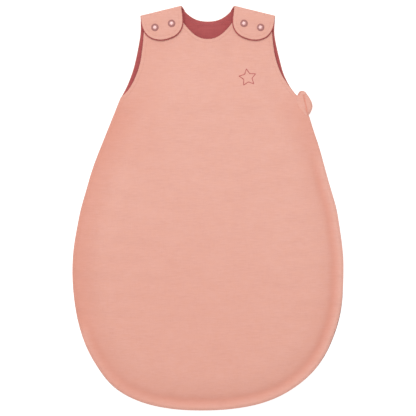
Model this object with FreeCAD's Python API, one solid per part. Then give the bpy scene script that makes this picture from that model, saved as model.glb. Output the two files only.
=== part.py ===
"""Baby sleeping bag, laid flat on its back: a padded pear-shaped bag with a fold-over front,
two snap-down shoulder tabs and a zip that runs down one side and round the foot.

Row frame: millimetres, +X across the bag, +Y from the foot to the shoulders, +Z up from the
surface that the bag lies on. The origin is the middle of the bag's outline, on that surface.

The back lies flat. The front is a low padded dome: it meets the back at the sewn side seam
(-X side), stands off it by the height of the zip along the +X side and the foot, and is open
at the neck and at the two armholes. The fold line of the front runs from the zip's top to the
zip's lower end, so the front is two solids per layer, bodice and flap.
"""
import FreeCAD, Part

import math
import os

V = FreeCAD.Vector

# ------------------------------------------------------------------ driving dimensions
# layer heights of the back panel
BACK_SHELL = (0.0, 1.2)
BACK_WADDING = (1.2, 6.0)
BACK_LINING = (6.0, 7.0)
# layers of the front panel, measured up from its underside
FRONT_LINING = (0.0, 0.9)
FRONT_WADDING = (1.0, 5.8)
FRONT_SHELL = (5.9, 7.1)
# height of the front panel's underside over the surface
Z_CENTRE = 24.0        # in the middle of the bag
Z_SEAM = 8.0           # along the sewn side seam
Z_ZIP = 16.0           # along the zip
Z_ARMHOLE = 13.0       # at the armholes
Z_NECK = 16.5          # at the middle of the neckline
Z_SHOULDER = 8.6       # on the shoulders, under the tabs
DOME = 62.0            # width of the slope from rim to dome
RIM = 3.0              # flat width at the rim

# zip
ZIP_C = (-399.0, -113.4)   # centre of the arc that the side of the zip follows
ZIP_R = 608.0              # radius of that arc, at the middle of the teeth
ZIP_Z = 11.5               # height of the middle of the teeth
ZIP_INSET = 6.4            # zip inside the outline, round the foot
ZIP_ARC_END_Y = -182.0     # where the arc ends
SLIDER_END_Y = -160.0      # the slider's lowest place on the arc
ZIP_END_Y = -231.0         # the zip's lower end, a little way up the sewn side
COIL_T = 2.0               # coil thickness
COIL_H = 1.6               # height of one half of the chain
COIL_GAP = 1.6             # between the two halves' cores
TAPE_T = 0.6
SLIDER_Y = 144.0           # slider parked at this height
SLIDER_L = 9.5
SLIDER_H = 7.4
PULL_L = 21.0
PULL_W = 4.4

# fold of the front
FOLD_TOP = (160.0, 115.5)
FOLD_FOOT = (-169.0, -246.0)
FOLD_Z = 31.9
FOLD_GAP = 0.5             # between the two sides of the fold

# shoulder tabs
TAB_IN = (42.5, 323.2)     # inner end of the shoulder fold, mirrored in X
TAB_OUT = (108.0, 307.1)   # outer end
TAB_AXIS_IN = 0.0          # fold axis, inside the edge of the fold
TAB_AXIS_Z = 11.3
TAB_START = 5.0            # the flat tab starts this far inside the edge of the fold
PADDING_END = 4.6          # the back's wadding and lining stop this far inside it
TAB_LINING = (18.8, 19.7)
TAB_INTERLINING = (19.7, 21.4)
TAB_SHELL = (21.4, 22.6)

# snap fasteners
CAP_R = 6.0
CAP_H = 1.8
SNAPS = ((57.7, 293.9), (84.2, 287.5))   # mirrored in X

# ------------------------------------------------------------------ outlines, in the XY plane
# side and foot, from the right armhole round the foot to the left armhole
SIDE = [(150.0, 171.5), (161.3, 147.0), (167.4, 127.6), (175.9, 102.0), (183.3, 76.4),
        (190.3, 50.8), (197.7, 25.2), (204.8, 0.0), (209.4, -26.0), (213.2, -51.6),
        (215.8, -77.2), (216.4, -109.0), (215.6, -141.2), (209.6, -179.6), (201.4, -205.2),
        (190.0, -230.8), (173.0, -256.4), (146.0, -281.8), (98.5, -307.4), (42.0, -320.1),
        (-10.0, -323.3), (-60.0, -320.9), (-113.5, -308.0), (-155.0, -282.2), (-175.4, -256.4),
        (-190.3, -230.8), (-200.8, -205.2), (-207.9, -179.6), (-214.2, -141.2), (-216.4, -109.0),
        (-215.6, -77.2), (-212.6, -51.6), (-208.0, -26.0), (-202.5, 0.0), (-195.3, 25.2),
        (-188.0, 50.8), (-179.3, 76.4), (-169.2, 102.0), (-158.9, 127.6), (-148.6, 153.2),
        (-139.0, 176.5)]
ARM_BACK_L = [(-139.0, 176.5), (-131.0, 191.6), (-125.4, 204.4), (-120.8, 217.2), (-117.1, 230.0),
              (-114.2, 242.8), (-111.6, 255.6), (-109.3, 268.4), (-107.7, 281.2), (-107.4, 294.0)]
ARM_BACK_R = [(107.0, 294.0), (106.6, 281.2), (108.2, 268.4), (110.8, 255.6), (113.8, 242.8),
              (117.0, 230.0), (120.6, 217.2), (126.0, 204.4), (133.4, 191.6), (142.0, 180.5),
              (150.0, 171.5)]
NECK_BACK = [(-42.5, 323.2), (-36.0, 314.3), (-28.0, 307.0), (-19.0, 301.9), (-9.0, 299.2),
             (0.0, 298.6), (9.0, 299.2), (19.0, 301.9), (28.0, 307.0), (36.0, 314.3), (42.5, 323.2)]
ARM_FRONT_L = [(-139.0, 176.5), (-129.2, 185.6), (-120.6, 198.0), (-114.6, 210.8), (-110.0, 223.6),
               (-107.0, 236.4), (-105.2, 249.2), (-103.7, 262.0), (-102.6, 274.8), (-101.8, 287.0),
               (-101.0, 297.0)]
ARM_FRONT_R = [(101.0, 297.0), (101.8, 287.0), (103.0, 274.8), (104.3, 262.0), (106.1, 249.2),
               (108.9, 236.4), (113.0, 223.6), (118.7, 210.8), (127.0, 198.0), (137.0, 185.0),
               (150.0, 171.5)]
NECK_FRONT = [(-47.5, 308.5), (-40.4, 298.0), (-32.0, 287.2), (-22.5, 277.6), (-12.0, 271.3),
              (0.0, 269.2), (12.0, 271.3), (22.5, 277.6), (32.0, 287.2), (40.4, 298.0), (47.5, 308.5)]
TAB_EDGE = [(42.0, 316.0), (41.0, 307.0), (40.4, 297.4), (41.6, 289.0), (45.2, 281.6), (51.4, 275.4),
            (60.0, 271.2), (69.5, 268.6), (77.5, 268.2), (85.5, 269.6), (93.0, 273.2), (99.2, 279.4),
            (103.2, 287.0), (105.4, 295.5), (106.4, 302.0)]
GARAGE = [(143.6, 180.6), (147.0, 186.2), (153.0, 186.8), (158.6, 181.4), (163.4, 174.0),
          (166.8, 166.0), (167.2, 160.6), (164.8, 153.6), (162.2, 149.0)]


# ------------------------------------------------------------------ helpers
def p3(p, z=0.0):
    return V(p[0], p[1], z)


def spline(points):
    c = Part.BSplineCurve()
    c.interpolate([p3(p) for p in points])
    return c


def edge(points):
    return spline(points).toShape()


def line(a, b):
    return Part.LineSegment(p3(a), p3(b)).toShape()


def face(edges):
    return Part.Face(Part.Wire(Part.__sortEdges__(edges)))


def prism(f, z0, z1):
    g = f.copy()
    g.translate(V(0, 0, z0))
    return upright(g.extrude(V(0, 0, z1 - z0)))


def sample(points, step):
    """Points along the spline through points, about step apart."""
    c = spline(points)
    n = max(2, int(c.length() / step))
    return [(q.x, q.y) for q in c.toShape().discretize(n + 1)]


def normals(pts):
    """Unit normals on the left of the direction of travel."""
    out = []
    for i in range(len(pts)):
        a = pts[max(0, i - 1)]
        b = pts[min(len(pts) - 1, i + 1)]
        dx, dy = b[0] - a[0], b[1] - a[1]
        n = math.hypot(dx, dy)
        out.append((-dy / n, dx / n))
    return out


def offset(pts, d):
    return [(p[0] + n[0] * d, p[1] + n[1] * d) for p, n in zip(pts, normals(pts))]


def thin(pts, step):
    """Every so many points, with both ends kept."""
    out = [pts[0]]
    gone = 0.0
    for a, b in zip(pts, pts[1:]):
        gone += math.hypot(b[0] - a[0], b[1] - a[1])
        if gone >= step:
            out.append(b)
            gone = 0.0
    if out[-1] != pts[-1]:
        if math.hypot(out[-1][0] - pts[-1][0], out[-1][1] - pts[-1][1]) < step * 0.4:
            out.pop()
        out.append(pts[-1])
    return out


def strip(pts, d0, d1, z0, z1):
    """A wall that follows pts, from d0 to d1 on its left, between two heights."""
    a, b = offset(pts, d0), offset(pts, d1)
    return prism(face([edge(a), line(a[-1], b[-1]), edge(b), line(b[0], a[0])]), z0, z1)


def smooth(t):
    t = max(0.0, min(1.0, t))
    return t * t * t * (t * (6 * t - 15) + 10)


def cyl(x, y, z0, z1, r):
    return Part.makeCylinder(r, z1 - z0, V(x, y, z0), V(0, 0, 1))


def revolve(profile, x, y):
    """A solid of revolution about the vertical through (x, y). profile is (radius, height) points."""
    pts = [V(r, 0, z) for r, z in profile]
    w = Part.makePolygon(pts + [pts[0]])
    s = Part.Face(w).revolve(V(0, 0, 0), V(0, 0, 1), 360)
    s = Part.Solid(s.Shells[0]) if s.ShapeType != "Solid" else s
    s.translate(V(x, y, 0))
    return s


def upright(solid):
    """The solid with its faces turned outward."""
    if solid.Volume < 0:
        solid = solid.copy()
        solid.reverse()
    return solid


os.makedirs("parts", exist_ok=True)
MADE = {}


def save(name, shapes):
    solids = []
    for s in shapes if isinstance(shapes, (list, tuple)) else [shapes]:
        solids += [upright(q) for q in s.Solids]
    assert solids, name
    for s in solids:
        assert s.isValid() and s.Volume > 0.01, (name, s.isValid(), s.Volume)
    out = solids[0] if len(solids) == 1 else Part.makeCompound(solids)
    out.exportStep("parts/%s.step" % name)
    MADE[name] = out
    b = out.BoundBox
    print("%-26s %2d solids %9.1f mm3  x %7.1f %7.1f  y %7.1f %7.1f  z %5.2f %5.2f" % (
        name, len(solids), sum(s.Volume for s in solids), b.XMin, b.XMax, b.YMin, b.YMax, b.ZMin, b.ZMax))


# ------------------------------------------------------------------ height of the front's underside
SIDE_PTS = sample(SIDE, 4.0)
EDGE_PTS = (SIDE_PTS + sample(ARM_FRONT_L, 4.0) + sample(ARM_FRONT_R, 4.0)
            + sample(NECK_FRONT, 4.0))
FOOT_N = (0.62, -0.785)        # across the zip's lower end, towards the zip


def rim_distance(x, y):
    return math.sqrt(min((x - q[0]) ** 2 + (y - q[1]) ** 2 for q in EDGE_PTS))


def inside_side(x, y):
    """True where the point is inside the front's outline, near enough for the height field."""
    hit = False
    pts = OUTLINE_PTS
    j = len(pts) - 1
    for i in range(len(pts)):
        a, b = pts[i], pts[j]
        if (a[1] > y) != (b[1] > y) and x < (b[0] - a[0]) * (y - a[1]) / (b[1] - a[1]) + a[0]:
            hit = not hit
        j = i
    return hit


OUTLINE_PTS = (SIDE_PTS + sample(ARM_FRONT_L, 4.0)
               + sample(NECK_FRONT, 4.0) + sample(ARM_FRONT_R, 4.0))


def underside(x, y):
    """Height of the underside of the front panel."""
    w = smooth(((x + 172.0) * FOOT_N[0] + (y + 250.0) * FOOT_N[1]) / 52.0 + 1.75)
    zip_side = w if x < 0 else max(w, smooth(x / 60.0))
    low = Z_SEAM + (Z_ZIP - Z_SEAM) * zip_side
    up1 = smooth((y - 135.0) / 75.0)
    up2 = smooth((y - 212.0) / 60.0)
    rim = low * (1 - up1) + Z_ARMHOLE * up1
    rim = rim * (1 - up2) + Z_SHOULDER * up2
    neck = smooth(1 - abs(x) / 50.0) * smooth((y - 196.0) / 60.0)
    rim = rim + (Z_NECK - Z_SHOULDER) * neck
    d = rim_distance(x, y) if inside_side(x, y) else 0.0
    rise = smooth((d - RIM) / DOME) * (1 - smooth((y - 165.0) / 95.0))
    return rim + (Z_CENTRE - rim) * rise


NX, NY = 33, 47
GX = [-232.0 + 464.0 * i / (NX - 1) for i in range(NX)]
GY = [-340.0 + 668.0 * j / (NY - 1) for j in range(NY)]
GRID = [[V(x, y, underside(x, y)) for y in GY] for x in GX]
_surface = Part.BSplineSurface()
_surface.interpolate(GRID)
UNDER = _surface.toShape()
print("front underside from %.2f to %.2f" % (min(v.z for r in GRID for v in r), max(v.z for r in GRID for v in r)))


def slab(layer):
    f = UNDER.copy()
    f.translate(V(0, 0, layer[0]))
    return upright(f.extrude(V(0, 0, layer[1] - layer[0])))


def main():
    # -------------------------------------------------------------- panel outlines
    side = edge(SIDE)
    d = math.hypot(TAB_OUT[0] - TAB_IN[0], TAB_OUT[1] - TAB_IN[1])
    fold_n = ((TAB_IN[1] - TAB_OUT[1]) / d, (TAB_OUT[0] - TAB_IN[0]) / d)   # outward from the +X shoulder fold
    print("shoulder fold normal", fold_n)
    back = face([side, edge(ARM_BACK_L), line(ARM_BACK_L[-1], (-TAB_OUT[0], TAB_OUT[1])),
                 line((-TAB_OUT[0], TAB_OUT[1]), (-TAB_IN[0], TAB_IN[1])), edge(NECK_BACK),
                 line(TAB_IN, TAB_OUT), line(TAB_OUT, ARM_BACK_R[0]), edge(ARM_BACK_R)])
    top_l, top_r = (-101.0, 297.0), (-47.5, 308.5)
    front = face([side, edge(ARM_FRONT_L), line(top_l, top_r), edge(NECK_FRONT),
                  line((47.5, 308.5), (101.0, 297.0)), edge(ARM_FRONT_R)])

    # the back's wadding and lining stop short of the shoulder fold
    def beyond_fold(sx, inside, z0, z1):
        n = (fold_n[0] * sx, fold_n[1])
        c = (TAB_IN[0] * sx - n[0] * inside, TAB_IN[1] - n[1] * inside)
        t = (-n[1], n[0])
        q = [(c[0] + t[0] * s + n[0] * w, c[1] + t[1] * s + n[1] * w)
             for s, w in ((-160, 0), (160, 0), (160, 60), (-160, 60))]
        f = face([line(q[i], q[(i + 1) % 4]) for i in range(4)])
        return prism(f, z0, z1)

    cut = [beyond_fold(sx, PADDING_END, -5, 40) for sx in (1, -1)]
    save("back_shell", prism(back, *BACK_SHELL))
    wad = prism(back, *BACK_WADDING)
    lin = prism(back, *BACK_LINING)
    for c in cut:
        # each cut is only on its own shoulder
        half = Part.makeBox(300, 800, 60, V(0 if c.BoundBox.Center.x > 0 else -300, -400, -10))
        c = c.common(half)
        wad = wad.cut(c)
        lin = lin.cut(c)
    save("back_wadding", wad)
    save("back_lining", lin)

    # -------------------------------------------------------------- front, two sides of the fold
    fx, fy = FOLD_FOOT[0] - FOLD_TOP[0], FOLD_FOOT[1] - FOLD_TOP[1]
    fl = math.hypot(fx, fy)
    axis = (fx / fl, fy / fl)
    n = (-axis[1], axis[0])            # towards the flap: n x z = axis
    mid = ((FOLD_TOP[0] + FOLD_FOOT[0]) / 2, (FOLD_TOP[1] + FOLD_FOOT[1]) / 2)
    print("fold axis", axis, "towards the flap", n, "middle", mid)

    def half_plane(sign, gap):
        g = gap / 2.0 * sign
        q = [(mid[0] + axis[0] * s + n[0] * w, mid[1] + axis[1] * s + n[1] * w)
             for s, w in ((-600, g), (600, g), (600, sign * 700 + g), (-600, sign * 700 + g))]
        return face([line(q[i], q[(i + 1) % 4]) for i in range(4)])

    front_prism = prism(front, -2, 60)
    bodice_region = front_prism.common(prism(half_plane(-1, FOLD_GAP), -5, 65))
    flap_region = front_prism.common(prism(half_plane(1, FOLD_GAP), -5, 65))
    holes = [cyl(sx * x, y, 0, 40, 1.6) for sx in (1, -1) for x, y in SNAPS]
    for name, layer in (("lining", FRONT_LINING), ("wadding", FRONT_WADDING), ("shell", FRONT_SHELL)):
        s = slab(layer)
        bodice = s.common(bodice_region)
        for h in holes:
            bodice = bodice.cut(h)
        save("front_bodice_" + name, bodice)
        save("front_flap_" + name, s.common(flap_region))

    # -------------------------------------------------------------- zip path
    path = []
    ns = normals(SIDE_PTS)
    d_end = None
    gone = 0.0
    for i, (q, m) in enumerate(zip(SIDE_PTS, ns)):
        inward = (-m[0], -m[1])                       # the outline runs clockwise, so its left is outside
        if q[1] > ZIP_ARC_END_Y and q[0] > 0:
            # distance along the inward normal to the arc
            ox, oy = q[0] - ZIP_C[0], q[1] - ZIP_C[1]
            b = ox * inward[0] + oy * inward[1]
            c = ox * ox + oy * oy - ZIP_R ** 2
            dist = -b - math.sqrt(b * b - c)
            d_end = dist
        else:
            a, b = SIDE_PTS[i - 1], q
            gone += math.hypot(b[0] - a[0], b[1] - a[1])
            t = smooth(gone / 90.0)
            dist = d_end * (1 - t) + ZIP_INSET * t
        path.append((q[0] + inward[0] * dist, q[1] + inward[1] * dist, dist))
        if q[0] < -100 and q[1] > ZIP_END_Y:
            break
    print("zip inset at every 10th point", [(round(p[0]), round(p[1]), round(p[2], 1)) for p in path[::10]])
    path = [(p[0], p[1]) for p in path]
    # the chain starts just above the parked slider
    a0 = math.asin((SLIDER_Y - ZIP_C[1]) / ZIP_R)
    a1 = math.asin((ZIP_ARC_END_Y + 4 - ZIP_C[1]) / ZIP_R)
    a_top = a0 + (SLIDER_L / 2 + 1.5) / ZIP_R
    chain = [(ZIP_C[0] + ZIP_R * math.cos(a_top - k * (a_top - a1) / 40.0),
              ZIP_C[1] + ZIP_R * math.sin(a_top - k * (a_top - a1) / 40.0)) for k in range(41)]
    chain += [p for p in path if not (p[0] > 0 and p[1] > chain[-1][1] - 6.0)]
    a_low = math.asin((SLIDER_END_Y - ZIP_C[1]) / ZIP_R)
    print("slider travel %.2f deg, %.0f mm" % (math.degrees(a0 - a_low), (a0 - a_low) * ZIP_R))
    length = sum(math.hypot(b[0] - a[0], b[1] - a[1]) for a, b in zip(chain, chain[1:]))
    print("chain %.0f mm" % length, "from", chain[0], "to", chain[-1])

    def at(a, u, v=0.0):
        """A point beside the arc: u outward, v along it towards the top."""
        return (ZIP_C[0] + (ZIP_R + u) * math.cos(a) - v * math.sin(a),
                ZIP_C[1] + (ZIP_R + u) * math.sin(a) + v * math.cos(a))

    # split of the front half where it crosses the fold
    def s_of(p):
        return (p[0] - mid[0]) * n[0] + (p[1] - mid[1]) * n[1]

    def cross(part):
        """The point of a polyline on the fold, and the index of the point before it."""
        for i in range(len(part) - 1):
            s0, s1 = s_of(part[i]), s_of(part[i + 1])
            if s0 * s1 <= 0:
                t = s0 / (s0 - s1)
                return i, t
        raise ValueError("no crossing")

    def arc_at_s(target):
        """The point of the arc at this distance from the fold."""
        lo, hi = a1, a_top
        for _ in range(60):
            m_ = (lo + hi) / 2
            if s_of(at(m_, 0)) > target:
                lo = m_
            else:
                hi = m_
        return at((lo + hi) / 2, 0)

    gap = 0.6
    top = [p for p in chain if s_of(p) < -gap - 0.3 and p[1] > 0] + [arc_at_s(-gap)]
    rest_of_chain = [p for p in chain if not (s_of(p) < gap + 0.3 and p[1] > 0)]
    i, t = cross(rest_of_chain)

    def beside(i, t, s_goal):
        p, q = rest_of_chain[i], rest_of_chain[i + 1]
        s0, s1 = s_of(p), s_of(q)
        k = (s_goal - s0) / (s1 - s0)
        return (p[0] + (q[0] - p[0]) * k, p[1] + (q[1] - p[1]) * k)

    flap_chain = [arc_at_s(gap)] + [p for p in rest_of_chain[:i + 1] if s_of(p) > gap + 0.3] + [beside(i, t, gap)]
    foot = [beside(i, t, -gap)] + [p for p in rest_of_chain[i + 1:] if s_of(p) < -gap - 0.3]
    print("flap chain from", flap_chain[0], "to", flap_chain[-1], "foot piece", foot[0], foot[-1])
    step_pts = lambda pts: thin(pts, 14.0)
    lo_back = (ZIP_Z - COIL_GAP / 2 - COIL_H, ZIP_Z - COIL_GAP / 2)
    lo_front = (ZIP_Z + COIL_GAP / 2, ZIP_Z + COIL_GAP / 2 + COIL_H)
    c2, t2 = COIL_T / 2, TAPE_T / 2
    full = step_pts(chain)
    flap = step_pts(flap_chain)
    foot = thin(foot, 8.0)
    tape_top = Z_ZIP - 0.1
    save("zip_coil_back", strip(full, -c2, c2, *lo_back))
    save("zip_tape_back", strip(full, -t2, t2, BACK_LINING[1], lo_back[0]))
    save("zip_coil_flap", strip(flap, -c2, c2, *lo_front))
    save("zip_tape_flap", strip(flap, -t2, t2, lo_front[1], tape_top))
    save("zip_coil_bodice", [strip(top, -c2, c2, *lo_front), strip(foot, -c2, c2, *lo_front)])
    save("zip_tape_bodice", [strip(top, -t2, t2, lo_front[1], tape_top - 0.2), strip(foot, -t2, t2, lo_front[1], tape_top - 0.1)])

    # top stops: a small clip on the end of each half
    stops = []
    for z0, z1 in ((lo_back[0] - 0.3, lo_back[1] + 0.3), (lo_front[0] - 0.3, lo_front[1] + 0.3)):
        q = [at(a_top, u, v) for u, v in ((-1.5, 0.05), (1.5, 0.05), (1.5, 2.6), (-1.5, 2.6))]
        stops.append(prism(face([line(q[i], q[(i + 1) % 4]) for i in range(4)]), z0, z1))
    save("zip_top_stops", stops)
    # bottom stop: one clip over both halves, past the flap's last tooth
    e, b_ = chain[-1], chain[-3]
    tx, ty = e[0] - b_[0], e[1] - b_[1]
    tl = math.hypot(tx, ty)
    tx, ty = tx / tl, ty / tl
    q = [(e[0] + tx * v - ty * u, e[1] + ty * v + tx * u) for u, v in ((-1.6, 0.05), (1.6, 0.05), (1.6, 4.0), (-1.6, 4.0))]
    save("zip_bottom_stop", prism(face([line(q[i], q[(i + 1) % 4]) for i in range(4)]), lo_back[0] - 0.3, lo_front[1] + 0.3))

    # -------------------------------------------------------------- slider: two plates, a wedge and a crown
    def local_box(u0, u1, v0, v1, z0, z1):
        q = [at(a0, u, v) for u, v in ((u0, v0), (u1, v0), (u1, v1), (u0, v1))]
        return prism(face([line(q[i], q[(i + 1) % 4]) for i in range(4)]), z0, z1)

    def plate(u0, u1):
        """A slider plate: wide at the nose, narrow at the tail, in the plane of the arc's tangent and Z."""
        h, t = SLIDER_H / 2, SLIDER_H / 2 - 1.0
        L = SLIDER_L / 2
        outline = [(-L, -t + 0.6), (-L + 0.6, -t), (-0.5, -t), (1.5, -h), (L - 1.4, -h), (L, -h + 1.6),
                   (L, h - 1.6), (L - 1.4, h), (1.5, h), (-0.5, t), (-L + 0.6, t), (-L, t - 0.6)]
        pts = []
        for v, w in outline:
            x, y = at(a0, u0, v)
            pts.append(V(x, y, ZIP_Z + w))
        w_ = Part.makePolygon(pts + [pts[0]])
        out = (math.cos(a0) * (u1 - u0), math.sin(a0) * (u1 - u0))
        return Part.Face(w_).extrude(V(out[0], out[1], 0))

    body = plate(1.5, 2.7).fuse([plate(-2.7, -1.5), local_box(-1.6, 1.6, 1.2, 4.2, ZIP_Z - 0.45, ZIP_Z + 0.45)])
    crown = local_box(2.6, 5.9, -3.2, 3.2, ZIP_Z - 1.0, ZIP_Z + 1.0)
    crown = crown.cut(local_box(2.5, 4.9, -2.2, 2.2, ZIP_Z - 2.0, ZIP_Z + 2.0))
    body = body.fuse(crown).removeSplitter()
    save("zip_slider", body)
    # pull: a round bar through the crown, an eye and a flat tab that hangs towards the foot
    bx, by = at(a0, 3.85)
    bar = cyl(bx, by, ZIP_Z - PULL_W / 2, ZIP_Z + PULL_W / 2, 0.7)
    tab = local_box(3.35, 4.35, -PULL_L, 0.0, ZIP_Z - PULL_W / 2, ZIP_Z + PULL_W / 2)
    tab = tab.cut(local_box(3.0, 5.0, -4.4, 1.0, ZIP_Z - 1.35, ZIP_Z + 1.35))
    pull = tab.fuse(bar).removeSplitter()
    hole_x, hole_y = at(a0, 3.85, -PULL_L + 3.2)
    hole = Part.makeCylinder(1.1, 6, V(hole_x - 3 * math.cos(a0), hole_y - 3 * math.sin(a0), ZIP_Z),
                             V(math.cos(a0), math.sin(a0), 0))
    save("zip_pull", pull.cut(hole))
    print("slider angle %.4f deg, joint centre %s, pull axis %s" % (math.degrees(a0), ZIP_C, (bx, by)))

    # -------------------------------------------------------------- zip garage: a fabric cap over the zip's top end
    inner = [(161.9, 150.8), (157.4, 160.0), (150.6, 172.4), (146.6, 177.2)]
    outer = edge(GARAGE)
    bump = face([outer, line(GARAGE[-1], inner[0]), edge(inner), line(inner[-1], GARAGE[0])])
    cap = prism(bump, 4.0, 20.0)
    e0 = at(a_top, -2.2, 3.2)
    e1 = at(a_top, 7.5, 3.2)
    tongue = face([line(e0, e1), line(e1, (159.5, 157.5)), line((159.5, 157.5), (152.5, 171.0)),
                   line((152.5, 171.0), (144.5, 166.0)), line((144.5, 166.0), e0)])
    # the underside of the front over the tongue is at least this high
    save("zip_garage", cap.fuse(prism(tongue, 7.3, 13.4)).removeSplitter())

    # -------------------------------------------------------------- side seam tape
    left = [p for p in SIDE_PTS if p[0] < 0 and p[1] > ZIP_END_Y + 16]
    a, b = thin(offset(left, -1.0), 16.0), thin(offset(left, -7.0), 16.0)
    save("side_seam_tape", prism(face([edge(a), line(a[-1], b[-1]), edge(b), line(b[0], a[0])]), BACK_LINING[1], BACK_LINING[1] + 0.75))

    # -------------------------------------------------------------- embroidered star on the chest
    def star(r_out, r_in):
        pts = []
        for k in range(10):
            r = r_out if k % 2 == 0 else r_in
            t = math.radians(90 + 36 * k + 8)
            pts.append((63.5 + r * math.cos(t), 207.5 + r * math.sin(t)))
        return face([line(pts[i], pts[(i + 1) % 10]) for i in range(10)])

    ring = prism(star(15.0, 7.6), -2, 60).cut(prism(star(13.0, 6.4), -3, 61))
    save("chest_embroidery", slab((FRONT_SHELL[1] + 0.05, FRONT_SHELL[1] + 0.7)).common(ring))

    # -------------------------------------------------------------- shoulder tabs with their snaps
    for side_name, sx in (("left", -1), ("right", 1)):
        nn = (fold_n[0] * sx, fold_n[1])
        edge_pts = [(sx * x, y) for x, y in TAB_EDGE]

        def tab_face(grow):
            pts = edge_pts
            if grow:
                o = offset(pts, grow * (1 if sx > 0 else -1) * -1)
                pts = o
            f = face([edge(pts), line(pts[-1], pts[0])])
            return f

        shell, lining = tab_face(0.0), tab_face(1.2)
        print(side_name, "tab shell area", shell.Area, "lining", lining.Area)
        # nothing of the flat tab reaches into the fold
        clip = beyond_fold(sx, TAB_START, -5, 40)
        pins = [cyl(sx * x, y, 0, 40, 1.5) for x, y in SNAPS]

        def tab_layer(f, z):
            s = prism(f, *z).cut(clip)
            for h in pins:
                s = s.cut(h)
            return s

        save("%s_tab_lining" % side_name, tab_layer(lining, TAB_LINING))
        save("%s_tab_interlining" % side_name, tab_layer(shell, TAB_INTERLINING))
        save("%s_tab_shell" % side_name, tab_layer(shell, TAB_SHELL))
        caps, sockets, studs, posts = [], [], [], []
        z = TAB_SHELL[1]
        for x, y in SNAPS:
            x = sx * x
            dome = [(0, z - 3.85), (1.3, z - 3.85), (1.3, z), (CAP_R - 0.5, z), (CAP_R, z + 0.35), (CAP_R - 0.25, z + 0.75)]
            for k in range(1, 8):
                t = k / 7.0
                dome.append(((CAP_R - 0.25) * math.cos(t * math.pi / 2), z + 0.75 + (CAP_H - 0.75) * math.sin(t * math.pi / 2)))
            dome[-1] = (0, z + CAP_H)
            caps.append(revolve(dome, x, y))
            zs = TAB_LINING[0] - 0.05
            sockets.append(revolve([(0, zs - 0.45), (2.7, zs - 0.45), (2.7, zs - 2.0), (3.6, zs - 2.0), (3.9, zs - 1.7),
                                    (3.9, zs - 0.8), (5.2, zs - 0.6), (5.4, zs - 0.3), (5.2, zs), (0, zs)], x, y))
            zb = Z_SHOULDER + FRONT_SHELL[1] + 0.1
            studs.append(revolve([(0, zb), (4.8, zb), (5.0, zb + 0.3), (4.8, zb + 0.6), (1.6, zb + 0.6), (1.6, zb + 1.0),
                                  (2.0, zb + 1.3), (2.0, zb + 1.8), (1.6, zb + 2.2), (0, zb + 2.2)], x, y))
            zp = Z_SHOULDER - 0.1
            posts.append(revolve([(0, zp - 0.8), (4.6, zp - 0.8), (4.8, zp - 0.4), (4.6, zp), (1.3, zp), (1.3, zb - 0.02),
                                  (0, zb - 0.02)], x, y))
        save("%s_snap_caps" % side_name, caps)
        save("%s_snap_sockets" % side_name, sockets)
        save("%s_snap_studs" % side_name, studs)
        save("%s_snap_posts" % side_name, posts)

    box = FreeCAD.BoundBox()
    for s in MADE.values():
        box.add(s.BoundBox)
    print("whole object", box)


main()
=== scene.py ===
"""Looks of the baby sleeping bag: quilted cloth panels, straps, zip, snaps and stitching over the CAD frame."""
import bpy
import math
import numpy as np
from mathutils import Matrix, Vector, kdtree
from mathutils.bvhtree import BVHTree
from mathutils.geometry import delaunay_2d_cdt


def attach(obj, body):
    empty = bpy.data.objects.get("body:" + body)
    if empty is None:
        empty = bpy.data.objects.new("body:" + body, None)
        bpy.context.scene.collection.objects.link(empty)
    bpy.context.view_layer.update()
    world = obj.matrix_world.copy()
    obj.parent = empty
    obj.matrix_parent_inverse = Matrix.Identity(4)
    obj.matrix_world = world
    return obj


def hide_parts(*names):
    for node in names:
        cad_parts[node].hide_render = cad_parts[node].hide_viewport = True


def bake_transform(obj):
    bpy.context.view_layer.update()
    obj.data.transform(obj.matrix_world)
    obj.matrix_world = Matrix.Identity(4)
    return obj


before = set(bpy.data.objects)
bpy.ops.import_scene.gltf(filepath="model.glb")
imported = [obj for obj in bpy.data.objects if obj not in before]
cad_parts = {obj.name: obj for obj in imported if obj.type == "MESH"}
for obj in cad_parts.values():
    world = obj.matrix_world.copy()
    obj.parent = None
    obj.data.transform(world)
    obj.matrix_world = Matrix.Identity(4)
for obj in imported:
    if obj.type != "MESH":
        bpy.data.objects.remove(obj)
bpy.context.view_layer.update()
RNG = np.random.default_rng(7)

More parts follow.
